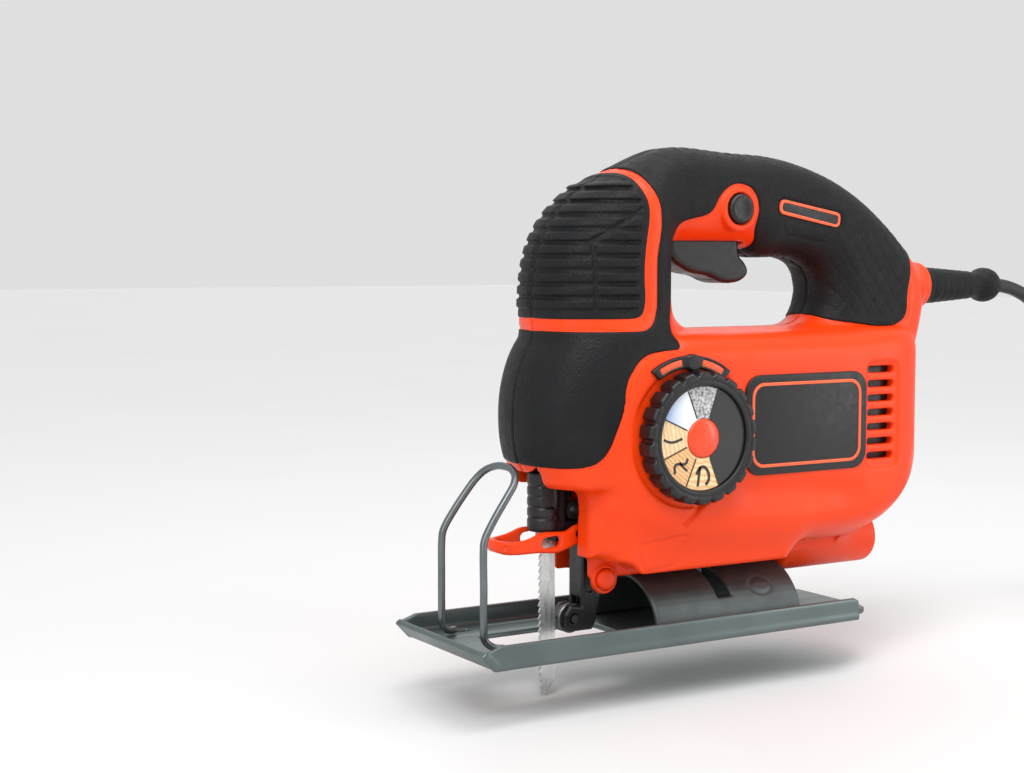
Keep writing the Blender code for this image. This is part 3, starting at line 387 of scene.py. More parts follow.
def lathe(name, prof, origin, axis, mats, n=48, closed=False):
    """Turn a (radius, along) profile about an axis."""
    a = Vector(axis).normalized()
    u = a.orthogonal().normalized()
    w = a.cross(u)
    o = Vector(origin)
    V, rows = [], []
    for r, t in prof:
        if r < 1e-6:
            rows.append([len(V)])
            V.append(o + a * t)
        else:
            rows.append(list(range(len(V), len(V) + n)))
            V += [o + a * t + (u * math.cos(math.tau * k / n) + w * math.sin(math.tau * k / n)) * r for k in range(n)]
    F = []
    pairs = list(zip(rows, rows[1:])) + ([(rows[-1], rows[0])] if closed else [])
    for A, B in pairs:
        if len(A) == 1 and len(B) == 1:
            continue
        for k in range(n):
            m = (k + 1) % n
            if len(A) == 1:
                F.append([A[0], B[m], B[k]])
            elif len(B) == 1:
                F.append([A[k], A[m], B[0]])
            else:
                F.append([A[k], A[m], B[m], B[k]])
    ob = add_mesh(name, V, F, mats)
    bm = bmesh.new()
    bm.from_mesh(ob.data)
    bmesh.ops.recalc_face_normals(bm, faces=bm.faces)
    bm.to_mesh(ob.data)
    bm.free()
    return ob


def tube(name, P, r, mats, n=16):
    """A round bar along a line, with domed ends."""
    P = np.array(P, float)
    T = np.gradient(P, axis=0)
    T /= np.linalg.norm(T, axis=1, keepdims=True)
    side = np.cross(T[0], [0, 0, 1.0])
    if np.linalg.norm(side) < 0.1:
        side = np.cross(T[0], [0, 1.0, 0])
    V, ring = [], []
    for p, t in zip(P, T):
        side = side - t * side.dot(t)
        side /= np.linalg.norm(side)
        up = np.cross(t, side)
        ring.append(list(range(len(V), len(V) + n)))
        for k in range(n):
            a = math.tau * k / n
            V.append(p + r * (math.cos(a) * side + math.sin(a) * up))
    F = []
    for A, B in zip(ring, ring[1:]):
        for k in range(n):
            F.append([A[k], A[(k + 1) % n], B[(k + 1) % n], B[k]])
    V.append(P[0] - T[0] * r * 0.5)
    V.append(P[-1] + T[-1] * r * 0.5)
    for k in range(n):
        F.append([ring[0][(k + 1) % n], ring[0][k], len(V) - 2])
        F.append([ring[-1][k], ring[-1][(k + 1) % n], len(V) - 1])
    ob = add_mesh(name, V, F, mats)
    bm = bmesh.new()
    bm.from_mesh(ob.data)
    bmesh.ops.recalc_face_normals(bm, faces=bm.faces)
    bm.to_mesh(ob.data)
    bm.free()
    return ob


# ---------------------------------------------------------------------- materials
def srgb(r, g, b):
    f = lambda c: c / 12.92 if c <= 0.04045 else ((c + 0.055) / 1.055) ** 2.4
    return (f(r / 255), f(g / 255), f(b / 255), 1.0)


def material(name, colour, rough, metal=0.0, vary=0.12, vary_scale=40, grain=1500, grain_h=0.00002, rough_vary=0.10,
             coat=0.0, spec=0.5, cells=False, wear=None, wear_at=0.60, brushed=None):
    """Base colour with drift and edge wear, roughness that varies, and a fine surface relief."""
    m = bpy.data.materials.new(name)
    m.use_nodes = True
    t = m.node_tree
    N, L = t.nodes, t.links
    b = N["Principled BSDF"]
    b.inputs["Metallic"].default_value = metal
    b.inputs["Specular IOR Level"].default_value = spec
    b.inputs["Coat Weight"].default_value = coat
    b.inputs["Coat Roughness"].default_value = 0.12
    tc = N.new("ShaderNodeTexCoord")
    mp = N.new("ShaderNodeMapping")
    L.new(tc.outputs["Object"], mp.inputs["Vector"])
    if brushed:
        mp.inputs["Scale"].default_value = brushed
    big = N.new("ShaderNodeTexNoise")
    big.inputs["Scale"].default_value = vary_scale
    big.inputs["Detail"].default_value = 5
    L.new(tc.outputs["Object"], big.inputs["Vector"])
    ramp = N.new("ShaderNodeMapRange")
    ramp.inputs["From Min"].default_value, ramp.inputs["From Max"].default_value = 0.3, 0.7
    ramp.inputs["To Min"].default_value, ramp.inputs["To Max"].default_value = 0.0, 1.0
    L.new(big.outputs["Fac"], ramp.inputs["Value"])
    mix = N.new("ShaderNodeMix")
    mix.data_type = "RGBA"
    c0 = [c * (1 - vary) for c in colour[:3]] + [1]
    c1 = [min(1.0, c * (1 + vary)) for c in colour[:3]] + [1]
    mix.inputs["A"].default_value, mix.inputs["B"].default_value = c0, c1
    L.new(ramp.outputs["Result"], mix.inputs["Factor"])
    out = mix.outputs["Result"]
    fine = N.new("ShaderNodeTexVoronoi" if cells else "ShaderNodeTexNoise")
    fine.inputs["Scale"].default_value = grain
    if not cells:
        fine.inputs["Detail"].default_value = 3
    L.new(mp.outputs["Vector"] if brushed else tc.outputs["Object"], fine.inputs["Vector"])
    height = fine.outputs["Distance" if cells else "Fac"]
    if wear:
        geo = N.new("ShaderNodeNewGeometry")
        pr = N.new("ShaderNodeMapRange")
        pr.inputs["From Min"].default_value, pr.inputs["From Max"].default_value = wear_at, wear_at + 0.12
        L.new(geo.outputs["Pointiness"], pr.inputs["Value"])
        scr = N.new("ShaderNodeTexNoise")
        scr.inputs["Scale"].default_value = 260
        scr.inputs["Detail"].default_value = 8
        L.new(tc.outputs["Object"], scr.inputs["Vector"])
        sr = N.new("ShaderNodeMapRange")
        sr.inputs["From Min"].default_value, sr.inputs["From Max"].default_value = 0.45, 0.65
        L.new(scr.outputs["Fac"], sr.inputs["Value"])
        mul = N.new("ShaderNodeMath")
        mul.operation = "MULTIPLY"
        L.new(pr.outputs["Result"], mul.inputs[0])
        L.new(sr.outputs["Result"], mul.inputs[1])
        m2 = N.new("ShaderNodeMix")
        m2.data_type = "RGBA"
        m2.inputs["B"].default_value = wear
        L.new(out, m2.inputs["A"])
        L.new(mul.outputs["Value"], m2.inputs["Factor"])
        out = m2.outputs["Result"]
    L.new(out, b.inputs["Base Color"])
    rr = N.new("ShaderNodeMapRange")
    rr.inputs["To Min"].default_value = max(0.03, rough - rough_vary)
    rr.inputs["To Max"].default_value = min(1.0, rough + rough_vary)
    rr.inputs["From Min"].default_value, rr.inputs["From Max"].default_value = 0.25, 0.75
    rn = N.new("ShaderNodeTexNoise")
    rn.inputs["Scale"].default_value = vary_scale * 4
    rn.inputs["Detail"].default_value = 6
    L.new(mp.outputs["Vector"] if brushed else tc.outputs["Object"], rn.inputs["Vector"])
    L.new(rn.outputs["Fac"], rr.inputs["Value"])
    L.new(rr.outputs["Result"], b.inputs["Roughness"])
    bump = N.new("ShaderNodeBump")
    bump.inputs["Strength"].default_value = 1.0
    bump.inputs["Distance"].default_value = grain_h
    L.new(height, bump.inputs["Height"])
    L.new(bump.outputs["Normal"], b.inputs["Normal"])
    return m


ORANGE_C = srgb(243, 64, 6)
M = {
    "orange": material("orange_moulded", ORANGE_C, 0.36, vary=0.05, vary_scale=25, grain=2400, grain_h=0.000012,
                       rough_vary=0.07, spec=0.3, wear=srgb(255, 120, 70), wear_at=0.58),
    "tpe": material("soft_black", srgb(17, 18, 20), 0.56, vary=0.16, vary_scale=60, grain=1000, grain_h=0.00022,
                    rough_vary=0.10, cells=True, spec=0.24, wear=srgb(66, 67, 70), wear_at=0.56),
    "plastic": material("satin_black", srgb(18, 18, 20), 0.40, vary=0.14, vary_scale=70, grain=1900, grain_h=0.00002,
                        rough_vary=0.10, wear=srgb(70, 70, 72), wear_at=0.57),
    "badge": material("badge_black", srgb(14, 14, 16), 0.42, vary=0.10, vary_scale=90, grain=1600, grain_h=0.00003,
                      rough_vary=0.09),
    "ring": material("orange_print", srgb(246, 98, 52), 0.42, vary=0.06, vary_scale=80, grain=2600, grain_h=0.00001),
    "cap": material("orange_cap", srgb(238, 66, 16), 0.30, vary=0.06, vary_scale=90, grain=2200, grain_h=0.00001,
                    coat=0.3),
    "shoe": material("coated_steel", srgb(98, 109, 109), 0.36, metal=0.72, vary=0.12, vary_scale=30, grain=260,
                     grain_h=0.00003, rough_vary=0.10, wear=srgb(190, 196, 196), wear_at=0.56, brushed=(0.15, 1, 1)),
    "arch": material("coated_steel_dark", srgb(84, 90, 90), 0.42, metal=0.6, vary=0.12, vary_scale=40, grain=900,
                     grain_h=0.00002, rough_vary=0.10, wear=srgb(170, 176, 176), wear_at=0.57),
    "wire": material("bright_wire", srgb(112, 118, 120), 0.36, metal=0.95, vary=0.10, vary_scale=120, grain=700,
                     grain_h=0.00001, rough_vary=0.10),
    "blade": material("ground_steel", srgb(205, 208, 206), 0.30, metal=0.9, vary=0.10, vary_scale=150, grain=900,
                      grain_h=0.00001, rough_vary=0.12, brushed=(1, 1, 0.12)),
    "hard": material("hard_steel", srgb(96, 98, 100), 0.34, metal=0.9, vary=0.16, vary_scale=120, grain=1200,
                     grain_h=0.00001, rough_vary=0.12),
    "copper": material("copper_bars", srgb(196, 112, 70), 0.34, metal=1.0, vary=0.15, vary_scale=120, grain=1500,
                       grain_h=0.00001),
    "lams": material("laminations", srgb(120, 122, 124), 0.45, metal=0.8, vary=0.15, vary_scale=80, grain=1800,
                     grain_h=0.00003, brushed=(1, 0.05, 0.05)),
    "graphite": material("graphite", srgb(50, 50, 54), 0.6, metal=0.2, vary=0.2, vary_scale=200, grain=2500,
                         grain_h=0.00002),
    "brass": material("brass", srgb(205, 178, 110), 0.28, metal=1.0, vary=0.08, vary_scale=150, grain=1500,
                      grain_h=0.00001),
    "cord": material("cord_rubber", srgb(27, 27, 30), 0.46, vary=0.15, vary_scale=90, grain=1400, grain_h=0.00003,
                     rough_vary=0.08),
}
SLOT_OF = {"orange_abs": "orange", "black_tpe": "tpe", "black_plastic": "plastic", "label_print": "ring",
           "orange_cap": "cap", "grey_steel": "shoe", "bright_steel": "wire", "hard_steel": "hard",
           "copper": "copper", "laminations": "lams", "graphite": "graphite", "brass": "brass",
           "cord_rubber": "cord"}
slots = {p["node"]: p["material_slot"] for p in frame["record"]["subparts"]}
for name, ob in NODES.items():
    if ob.type == "MESH":
        ob.data.materials.clear()
        ob.data.materials.append(M[SLOT_OF.get(slots.get(name), "hard")])

# ------------------------------------------------------------- the housing and its skins
SOFT_R, PAD_R, FG_R = rounded(SOFT, 5), rounded(PAD, 7), rounded(FG, 7)


def bent(g, D, R, x_on, x_off):
    """Curve the front of a flat outline back towards both sides, as seen from above."""
    x = g.c[0].astype(float)
    w = np.clip((x_off - x) / (x_off - x_on), 0, 1)
    out = np.empty((len(x), len(g.c[1]), len(g.c[2])), f4)
    for j, y in enumerate(g.c[1]):
        b = R - math.sqrt(max(R * R - float(y) ** 2, 9.0))
        q = np.clip((x - b * w - x[0]) / g.h, 0, len(x) - 1.001)
        i = q.astype(int)
        t = (q - i)[:, None].astype(f4)
        out[:, j, :] = (1 - t) * D[i] + t * D[i + 1]
    return out


def body_field(g):
    """The closed outside of the tool's body."""
    b1 = g.ext(rounded(B1, 16), -BODY_W, BODY_W, 13)
    plan = np.hypot(np.maximum(g.X - 107, 0), g.Y) - 40.5
    b1 = smax(b1, plan + 0 * g.Z, 6)
    n0 = rnd(bent(g, g.flat(rounded(B0, 12))[:, 0, :], 44, -44, -12), np.abs(g.Y) - NOSE_LOW, 10)
    lip = rnd(bent(g, g.flat(rounded([(-61, 67.6), (-64.5, 92), (-5, 92), (-5, 67.6)], 5))[:, 0, :], 44, -44, -12),
              np.abs(g.Y) - NOSE_LOW + 1.0, 4)
    n0 = smin(n0, lip, 3)
    d = smin(b1, n0, 6)
    nt = rnd(bent(g, g.flat(rounded(NT, 12))[:, 0, :], 40, -32, -4), np.abs(g.Y) - NOSE_TOP, 13)
    crown = np.hypot(np.maximum(g.Z - 175.5, 0), g.Y) - 29.0 + 0 * g.X
    nt = smax(nt, crown, 4)
    ring2 = smax(g.flat(rounded(HA, 14)), -g.flat(FG_R), 5)
    ha = rnd(ring2 + 0 * g.Y, np.abs(g.Y) - HANDLE_W, 16.5)
    top = smin(nt, ha, 13)
    top = smax(top, -(g.flat(FG_R) + 3.5) + 0 * g.Y, 6)
    d = smin(smin(d, top, 5), b1, 2)
    d = smin(d, g.ext(B2, -24, 24, 4), 8)
    skirt = g.ext([(-30, 28), (60, 28), (66, 44), (66, 60), (-34, 60), (-34, 44)], -30, 30, 5)
    skirt = smax(skirt, -smax(np.hypot(g.Y, g.Z) - 40.6 + 0 * g.X, 15.0 - np.abs(g.Y) + 0 * g.X + 0 * g.Z, 1.5), 3)
    d = smin(d, skirt, 10)
    d = smax(d, -g.cyl("Y", (BX, BZ), 8.6, -60, -15.0, 1.5), 3)
    d = smax(d, -g.cyl("Y", (BX, BZ), 8.6, 15.0, 60, 1.5), 3)
    d = smin(d, g.box(-38, 60, -14.5, 14.5, 27.6, 44, 2), 2)
    d = smin(d, g.cyl("X", (0, 31.5), 12.6, 71.8, 129, 2.2), 14)
    d = smin(d, g.cyl("X", (0, CORD_Z), 11.5, 143, 163.8, 1.6), 5)
    # the tilt arch has its own room under the body
    d = smax(d, -g.cyl("X", (0, 0), 26.9, -9.8, 71.6, 0.3), 0.5)
    # nothing of the body comes into the arc that the tilting sole sweeps
    keep = smax(np.hypot(g.Y, g.Z) - 40.0 + 0 * g.X, 14.6 - np.abs(g.Y) + 0 * g.X + 0 * g.Z, 1.0)
    keep = np.maximum(keep, np.maximum(g.X - 100, -g.X - 110) + 0 * g.Y + 0 * g.Z)
    d = smax(d, -keep, 0.8)
    return d.astype(f4)


def cut_ways(g, d):
    """Rooms and ways in the housing, so nothing that moves cuts through it."""
    for c in (g.box(-46, -24, -12.5, 12.5, 20, 66, 1.0), g.box(-61.5, -33, -11.2, 11.2, 58, 80, 1.0),
              g.box(-53.2, -38, -8.4, 8.4, 70, 163.5, 1.5), g.box(-44.0, -24.4, -18.0, 18.0, 70, 150, 2.0),
              g.cyl("X", (0, 112.8), 26.4, -37.5, -24.4, 0.5), g.cyl("X", (0, 84), 29.5, -19.5, 90, 2.0),
              g.cyl("X", (0, 84), 9.0, -26, -18, 0.2), g.cyl("Y", (DX, DZ), 8.6, -50, -28, 0.3),
              g.cyl("Y", (LX, LZ), LR + 0.35, -25, -10, 0.3), g.box(6.0, 48.0, -9.7, 9.7, 152, 183, 1.0),
              g.cyl("Y", (BX, BZ), BR + 0.3, -20, -9, 0.2), g.cyl("Z", (30, 0), 2.8, 20, 50, 0.2),
              g.cyl("X", (0, CORD_Z), 7.4, 138, 175, 0.3), g.cyl("X", (0, 31.5), 9.4, 76, 135, 0.3),
              g.box(6, 46, -10.8, 10.8, 179, 201, 0.5)):
        d = smax(d, -c, 0.6)
    return d


def housing(side):
    y0, y1 = (-48.0, 2.0) if side < 0 else (-2.0, 40.0)
    g = Grid((-70, y0, 16), (168, y1, 217), 0.86)
    d = body_field(g)
    ms, mp = g.flat(SOFT_R), g.flat(PAD_R)
    edge = np.minimum(np.abs(ms), np.abs(mp))
    d = d + f4(0.35) * np.exp(-(edge / 0.9) ** 2) * (g.Y * side > 4)
    # a raised step runs round the flank and the crease under the badge
    if side < 0:
        d = smin(d, g.cyl("Y", (LX, LZ), 10.0, -21.6, -12, 1.2), 0.8)
        d = smin(d, g.cyl("Y", (BX, BZ), 6.4, -15.6, -10, 1.0), 1.0)
        d = smax(d, -g.cyl("Y", (DX, DZ), 30.5, -60, -35.7, 0.4), 1.0)
    # vent field: a shallow tray with slots
    tray = g.ext(rounded([(99, 69), (119, 69), (119, 118), (99, 118)], 5), *((-60, -35.3) if side < 0 else (35.3, 60)), 0.5)
    d = smax(d, -tray, 0.8)
    for k in range(7):
        z = 73.0 + 6.6 * k
        d = smax(d, -g.ext(rrect(100.5, 116.5, z, z + 3.2, 1.4, 3), *((-60, -28.5) if side < 0 else (28.5, 60)), 0.4), 0.4)
    # flank crease: a soft step that falls from the dial to the vents
    z_line = 70.0 - (g.X + 3) * (6.0 / 91.0)
    dd = g.Z - z_line
    gate = np.clip((g.X - 22) / 12, 0, 1) * np.clip((100 - g.X) / 14, 0, 1)
    d = d + f4(0.9) * gate * (1 / (1 + np.exp(-(-dd) / 0.9))) * np.clip((dd + 16) / 10, 0, 1) * (g.Y * side > 20)
    # the slit and the sunk frame low on the left flank
    if side < 0:
        def groove(x0, z0, x1, z1, wd):
            t = np.clip(((g.X - x0) * (x1 - x0) + (g.Z - z0) * (z1 - z0)) / ((x1 - x0) ** 2 + (z1 - z0) ** 2), 0, 1)
            return np.exp(-((np.hypot(g.X - x0 - t * (x1 - x0), g.Z - z0 - t * (z1 - z0))) / wd) ** 2) * (g.Y < -8)
        d = d + f4(1.5) * groove(-3, 51, 6, 60, 1.0)
        fr = rounded([(-24, 43), (1, 46.5), (-4, 33), (-20, 31.5)], 3)
        d = d + f4(0.55) * np.exp(-(g.flat(fr) / 0.55) ** 2) * (g.Y < -8)
    # parting seam all round
    d = smax(d, -(ms + 3.2) + 0 * g.Y, 0.3)
    d = smax(d, -(mp + 3.2) + 0 * g.Y, 0.3)
    d = cut_ways(g, d)
    if side > 0:
        for sx, sz, half in ((128.0, 106.0, BODY_W), (-28.0, 178.0, NOSE_TOP), (106.0, 182.0, HANDLE_W)):
            d = smax(d, -g.cyl("Y", (sx, sz), 3.9, half - 5, 60, 0.2), 0.5)
    d = smax(d, side * -(g.Y - side * 0.12) + 0 * d, 0.5)
    return from_field("housing_shell_left" if side < 0 else "housing_shell_right", d, g, M["orange"], "tool",
                      ["housing_left" if side < 0 else "housing_right"], 0.55)


def grip(side):
    y0, y1 = (-34.0, 2.0) if side < 0 else (-2.0, 34.0)
    g = Grid((-70, y0, 74), (162, y1, 217), 0.8)
    d = body_field(g) - f4(0.45)
    ms = g.flat(SOFT_R)
    # shallow grooves across the back of the handle
    top = np.clip((g.Z - 150) / 20, 0, 1) * np.clip((g.X - 4) / 8, 0, 1)
    s = g.X * 0.78 - g.Z * 0.62 * np.clip((g.X - 60) / 60, 0, 1)
    near_top = np.clip((13.0 - np.abs(g.Y)) / 3.0, 0, 1)
    d = d + f4(0.6) * top * near_top * np.exp(-((((s / 4.6) % 1.0) - 0.5) / 0.16) ** 2)
    zone = np.clip((g.X - 84) / 10, 0, 1) * np.clip((190 - g.Z - 0.3 * (150 - g.X)) / 8, 0, 1) * \
        np.clip((-ms - 3) / 2, 0, 1)
    for k in (-1, 1):
        q = (g.X * 0.8 + k * g.Z * 0.62) / 6.0
        d = d + f4(0.28) * zone * np.exp(-(((q % 1.0) - 0.5) / 0.10) ** 2)
    if side < 0:
        hatch = rounded([(61.5, 182.4), (95.5, 176.6), (90, 171.6), (64, 175.6)], 3)
        d = d + f4(0.5) * np.exp(-(g.flat(hatch) / 0.6) ** 2) * (g.Y < -8)
        ring = g.cyl("Y", (LX, LZ), 10.4, -40, -8, 0.3)
        d = smax(d, -ring, 0.5)
        bar = g.ext(rounded([(59.5, 192.6), (97.5, 186.2), (96.4, 177.4), (58.6, 183.6)], 3.4), -40, -19.75, 0.3)
        d = smax(d, -bar, 0.5)
    d = smax(d, ms + f4(0.25) + 0 * g.Y, 0.9)
    d = cut_ways(g, d)
    if side > 0:
        d = smax(d, -g.cyl("Y", (106.0, 182.0), 4.0, 12, 60, 0.2), 0.5)
    d = smax(d, -g.cyl("X", (0, CORD_Z), 11.8, 140, 175, 0.3), 0.5)
    d = smax(d, side * -(g.Y - side * 0.12) + 0 * d, 0.8)
    return from_field("soft_grip_left" if side < 0 else "soft_grip_right", d, g, M["tpe"], "tool",
                      ["grip_left" if side < 0 else "grip_right"], 0.7)


def pad(side):
    y0, y1 = (-31.0, 1.6) if side < 0 else (-1.6, 31.0)
    g = Grid((-61, y0, 136), (-12, y1, 208), 0.62)
    d = body_field(g) - f4(0.3)
    mp = g.flat(PAD_R)
    # raised bars, split by a step that follows the front
    n = (g.Z - 142.6) / 5.75
    ph = n - np.floor(n)
    bar = np.clip((0.33 - np.abs(ph - 0.5)) / 0.06 + 0.5, 0, 1)
    inner = np.clip((-(mp + 3.4)) / 0.8, 0, 1)
    split_x = -43.0 + np.maximum(g.Z - 172.0, 0) * 1.7
    gap = np.clip((np.abs(g.X - split_x) / np.where(g.Z > 172, 1.9, 1.0) - 0.8) / 0.4, 0, 1)
    live = (g.Z > 142.6) * (g.Z < 197.0)
    far = np.clip((np.abs(g.Y) - 1.2) / 0.7, 0, 1)
    d = d + f4(0.35) - f4(1.25) * bar * inner * gap * live * far - f4(0.35) * (1 - inner)
    d = smax(d, mp + f4(0.25) + 0 * g.Y, 0.9)
    d = cut_ways(g, d)
    if side > 0:
        d = smax(d, -g.cyl("Y", (-28.0, 178.0), 4.0, 18, 60, 0.2), 0.5)
    d = smax(d, side * -(g.Y - side * 0.12) + 0 * d, 0.8)
    return from_field("nose_grip_left" if side < 0 else "nose_grip_right", d, g, M["tpe"], "tool",
                      ["nose_pad_left" if side < 0 else "nose_pad_right"], 0.8)


for side in (-1, 1):
    housing(side)
    grip(side)
    pad(side)

# ------------------------------------------------------------------ badges and label bar
for side, tag in ((-1, "left"), (1, "right")):
    y = sorted((side * 35.6, side * 37.5))
    finish_piece(prism("badge_panel_" + tag, rrect(28.4, 98, 70, 114, 8, 8), *y, [M["badge"]]), "tool",
                 ["badge_" + tag], 0.5)
    y = sorted((side * 37.2, side * 37.72))
    finish_piece(frame_ring("badge_line_" + tag, rrect(31.6, 94.4, 73.4, 110.6, 6.4, 8),
                            rrect(33.0, 93.0, 74.8, 109.2, 5.2, 8), *y, [M["ring"]]), "tool", (), 0.12, 2)
A_ = rounded([(60.6, 191.4), (96.2, 185.3), (95.2, 178.6), (59.8, 184.9)], 2.9)
B_ = rounded([(61.9, 189.9), (94.7, 184.2), (94.1, 180.0), (61.3, 186.1)], 1.7)
finish_piece(frame_ring("grip_label_line", A_, B_, -20.55, -17.5, [M["ring"]]), "tool", (), 0.15, 2)
finish_piece(prism("grip_label_field", rounded([(61.6, 190.3), (95.0, 184.6), (94.3, 179.6), (61.0, 185.8)], 2.0),
                   -20.25, -17.5, [M["badge"]]), "tool", (), 0.2, 2)

# painted shade: a black sheet at the bottom of each vent slot stands in for the shade inside the closed housing
for side, tag in ((-1, "left"), (1, "right")):
    y = sorted((side * 28.6, side * 31.0))
    vb = prism("vent_shade_sheet_" + tag, rrect(99.5, 117.5, 71, 117.5, 2, 4), *y, [M["badge"]])
    finish_piece(vb, "tool", (), 0.3, 2)

# ------------------------------------------------------------------------ the dial
g = Grid((DX - 30, -47.2, DZ - 30), (DX + 30, -30, DZ + 30), 0.5)
ang = np.arctan2(g.Z - DZ, g.X - DX)
rho = np.hypot(g.X - DX, g.Z - DZ)
lobes = f4(1.7) * np.clip((np.cos(22 * ang) - 0.35) / 0.65, 0, 1) ** 0.8
d = rnd(rho - (DR + 0.9 - lobes), np.abs(g.Y + 41.0) - 5.0, 2.0)
d = smax(d, -g.cyl("Y", (DX, DZ), 22.3, -50, -43.3, 0.2), 1.4)
d = smin(d, g.cyl("Y", (DX, DZ), 8.0, -40, -30.9, 0.3), 0.3)
groove = np.abs(rho - 24.6) - 0.35
d = smax(d, -rnd(groove + 0 * g.Y, -(g.Y + 45.55) * -1 + 0 * rho, 0.1), 0.4)
from_field("dial_ring", d.astype(f4), g, M["plastic"], "dial", ["selector_dial"])


def label_material(kind):
    m = bpy.data.materials.new("label_" + kind)
    m.use_nodes = True
    t = m.node_tree
    N, L = t.nodes, t.links
    b = N["Principled BSDF"]
    b.inputs["Roughness"].default_value = 0.35
    b.inputs["Coat Weight"].default_value = 0.25
    tc = N.new("ShaderNodeTexCoord")
    ramp = N.new("ShaderNodeValToRGB")
    e = ramp.color_ramp.elements
    if kind == "metal":
        n = N.new("ShaderNodeTexNoise")
        n.inputs["Scale"].default_value = 900
        n.inputs["Detail"].default_value = 6
        L.new(tc.outputs["Object"], n.inputs["Vector"])
        e[0].position, e[0].color = 0.36, srgb(96, 98, 100)
        e[1].position, e[1].color = 0.62, srgb(206, 206, 204)
        L.new(n.outputs["Fac"], ramp.inputs["Fac"])
    elif kind == "sky":
        s = N.new("ShaderNodeSeparateXYZ")
        L.new(tc.outputs["Object"], s.inputs["Vector"])
        r = N.new("ShaderNodeMapRange")
        r.inputs["From Min"].default_value, r.inputs["From Max"].default_value = -0.021, -0.004
        L.new(s.outputs["X"], r.inputs["Value"])
        e[0].position, e[0].color = 0.1, srgb(150, 180, 220)
        e[1].position, e[1].color = 0.75, srgb(240, 243, 246)
        L.new(r.outputs["Result"], ramp.inputs["Fac"])
    elif kind.startswith("wood"):
        mp = N.new("ShaderNodeMapping")
        mp.inputs["Rotation"].default_value = (0, {"wood1": 0.2, "wood2": 0.9, "wood3": 1.5}[kind], 0)
        L.new(tc.outputs["Object"], mp.inputs["Vector"])
        w = N.new("ShaderNodeTexWave")
        w.inputs["Scale"].default_value = {"wood1": 150, "wood2": 210, "wood3": 120}[kind]
        w.inputs["Distortion"].default_value = 4.5
        w.inputs["Detail"].default_value = 3
        w.inputs["Detail Scale"].default_value = 2
        L.new(mp.outputs["Vector"], w.inputs["Vector"])
        lo, hi = {"wood1": ((222, 180, 128), (244, 214, 170)), "wood2": ((206, 150, 92), (240, 196, 140)),
                  "wood3": ((226, 178, 118), (247, 215, 164))}[kind]
        e[0].color, e[1].color = srgb(*lo), srgb(*hi)
        L.new(w.outputs["Fac"], ramp.inputs["Fac"])
    else:
        n = N.new("ShaderNodeTexNoise")
        n.inputs["Scale"].default_value = 300
        L.new(tc.outputs["Object"], n.inputs["Vector"])
        e[0].color, e[1].color = srgb(20, 20, 22), srgb(34, 34, 36)
        L.new(n.outputs["Fac"], ramp.inputs["Fac"])
    L.new(ramp.outputs["Color"], b.inputs["Base Color"])
    bump = N.new("ShaderNodeBump")
    bump.inputs["Distance"].default_value = 0.00001
    n2 = N.new("ShaderNodeTexNoise")
    n2.inputs["Scale"].default_value = 1800
    L.new(tc.outputs["Object"], n2.inputs["Vector"])
    L.new(n2.outputs["Fac"], bump.inputs["Height"])
    L.new(bump.outputs["Normal"], b.inputs["Normal"])
    return m


KINDS = ["metal", "sky", "wood1", "wood2", "wood3", "dark"]
LM = [label_material(k) for k in KINDS]
# wedges, as angles seen from the dial's front, counter-clockwise from +X
WEDGES = [(70, 112, 0), (112, 156, 1), (156, 201, 2), (201, 246, 3), (246, 292, 4), (292, 430, 5)]
V, F, FM = [], [], []
RI, RO, YB, YT = 8.5, 22.0, -43.2, -44.15
for a0, a1, km in WEDGES:
    n = max(4, int((a1 - a0) / 4))
    for k in range(n):
        p = []
        for a in (a0 + (a1 - a0) * k / n, a0 + (a1 - a0) * (k + 1) / n):
            c, s_ = math.cos(math.radians(a)), math.sin(math.radians(a))
            for r, y in ((RI, YT), (RO, YT), (RO, YB), (RI, YB)):
                p.append((DX + r * c, y, DZ + r * s_))
        b0 = len(V)
        V += p
        F += [[b0, b0 + 4, b0 + 5, b0 + 1], [b0 + 1, b0 + 5, b0 + 6, b0 + 2], [b0 + 2, b0 + 6, b0 + 7, b0 + 3],
              [b0 + 3, b0 + 7, b0 + 4, b0]]
        FM += [km] * 4
lab = add_mesh("dial_print", V, F, LM, FM)
bm = bmesh.new()
bm.from_mesh(lab.data)
bmesh.ops.remove_doubles(bm, verts=bm.verts, dist=1e-6)
bmesh.ops.recalc_face_normals(bm, faces=bm.faces)
bm.to_mesh(lab.data)
bm.free()
finish_piece(lab, "dial", ["dial_label"])


def ribbon(P, w, y):
    """A thin raised line on the dial's face, as vertices and faces."""
    P = np.array(P, float)
    T = np.gradient(P, axis=0)
    T /= np.linalg.norm(T, axis=1, keepdims=True)
    Nn = np.stack([-T[:, 1], T[:, 0]], 1) * w / 2
    V, F = [], []
    for p, n in zip(P, Nn):
        V += [(p[0] + n[0], y, p[1] + n[1]), (p[0] - n[0], y, p[1] - n[1]),
              (p[0] - n[0], y + 0.3, p[1] - n[1]), (p[0] + n[0], y + 0.3, p[1] + n[1])]
    for i in range(len(P) - 1):
        a, b = 4 * i, 4 * i + 4
        F += [[a, b, b + 1, a + 1], [a + 1, b + 1, b + 2, a + 2], [a + 2, b + 2, b + 3, a + 3], [a + 3, b + 3, b, a]]
    F += [[0, 1, 2, 3], [4 * len(P) - 1, 4 * len(P) - 2, 4 * len(P) - 3, 4 * len(P) - 4]]
    return V, F


def pol(r, a):
    return (DX + r * math.cos(math.radians(a)), DZ + r * math.sin(math.radians(a)))


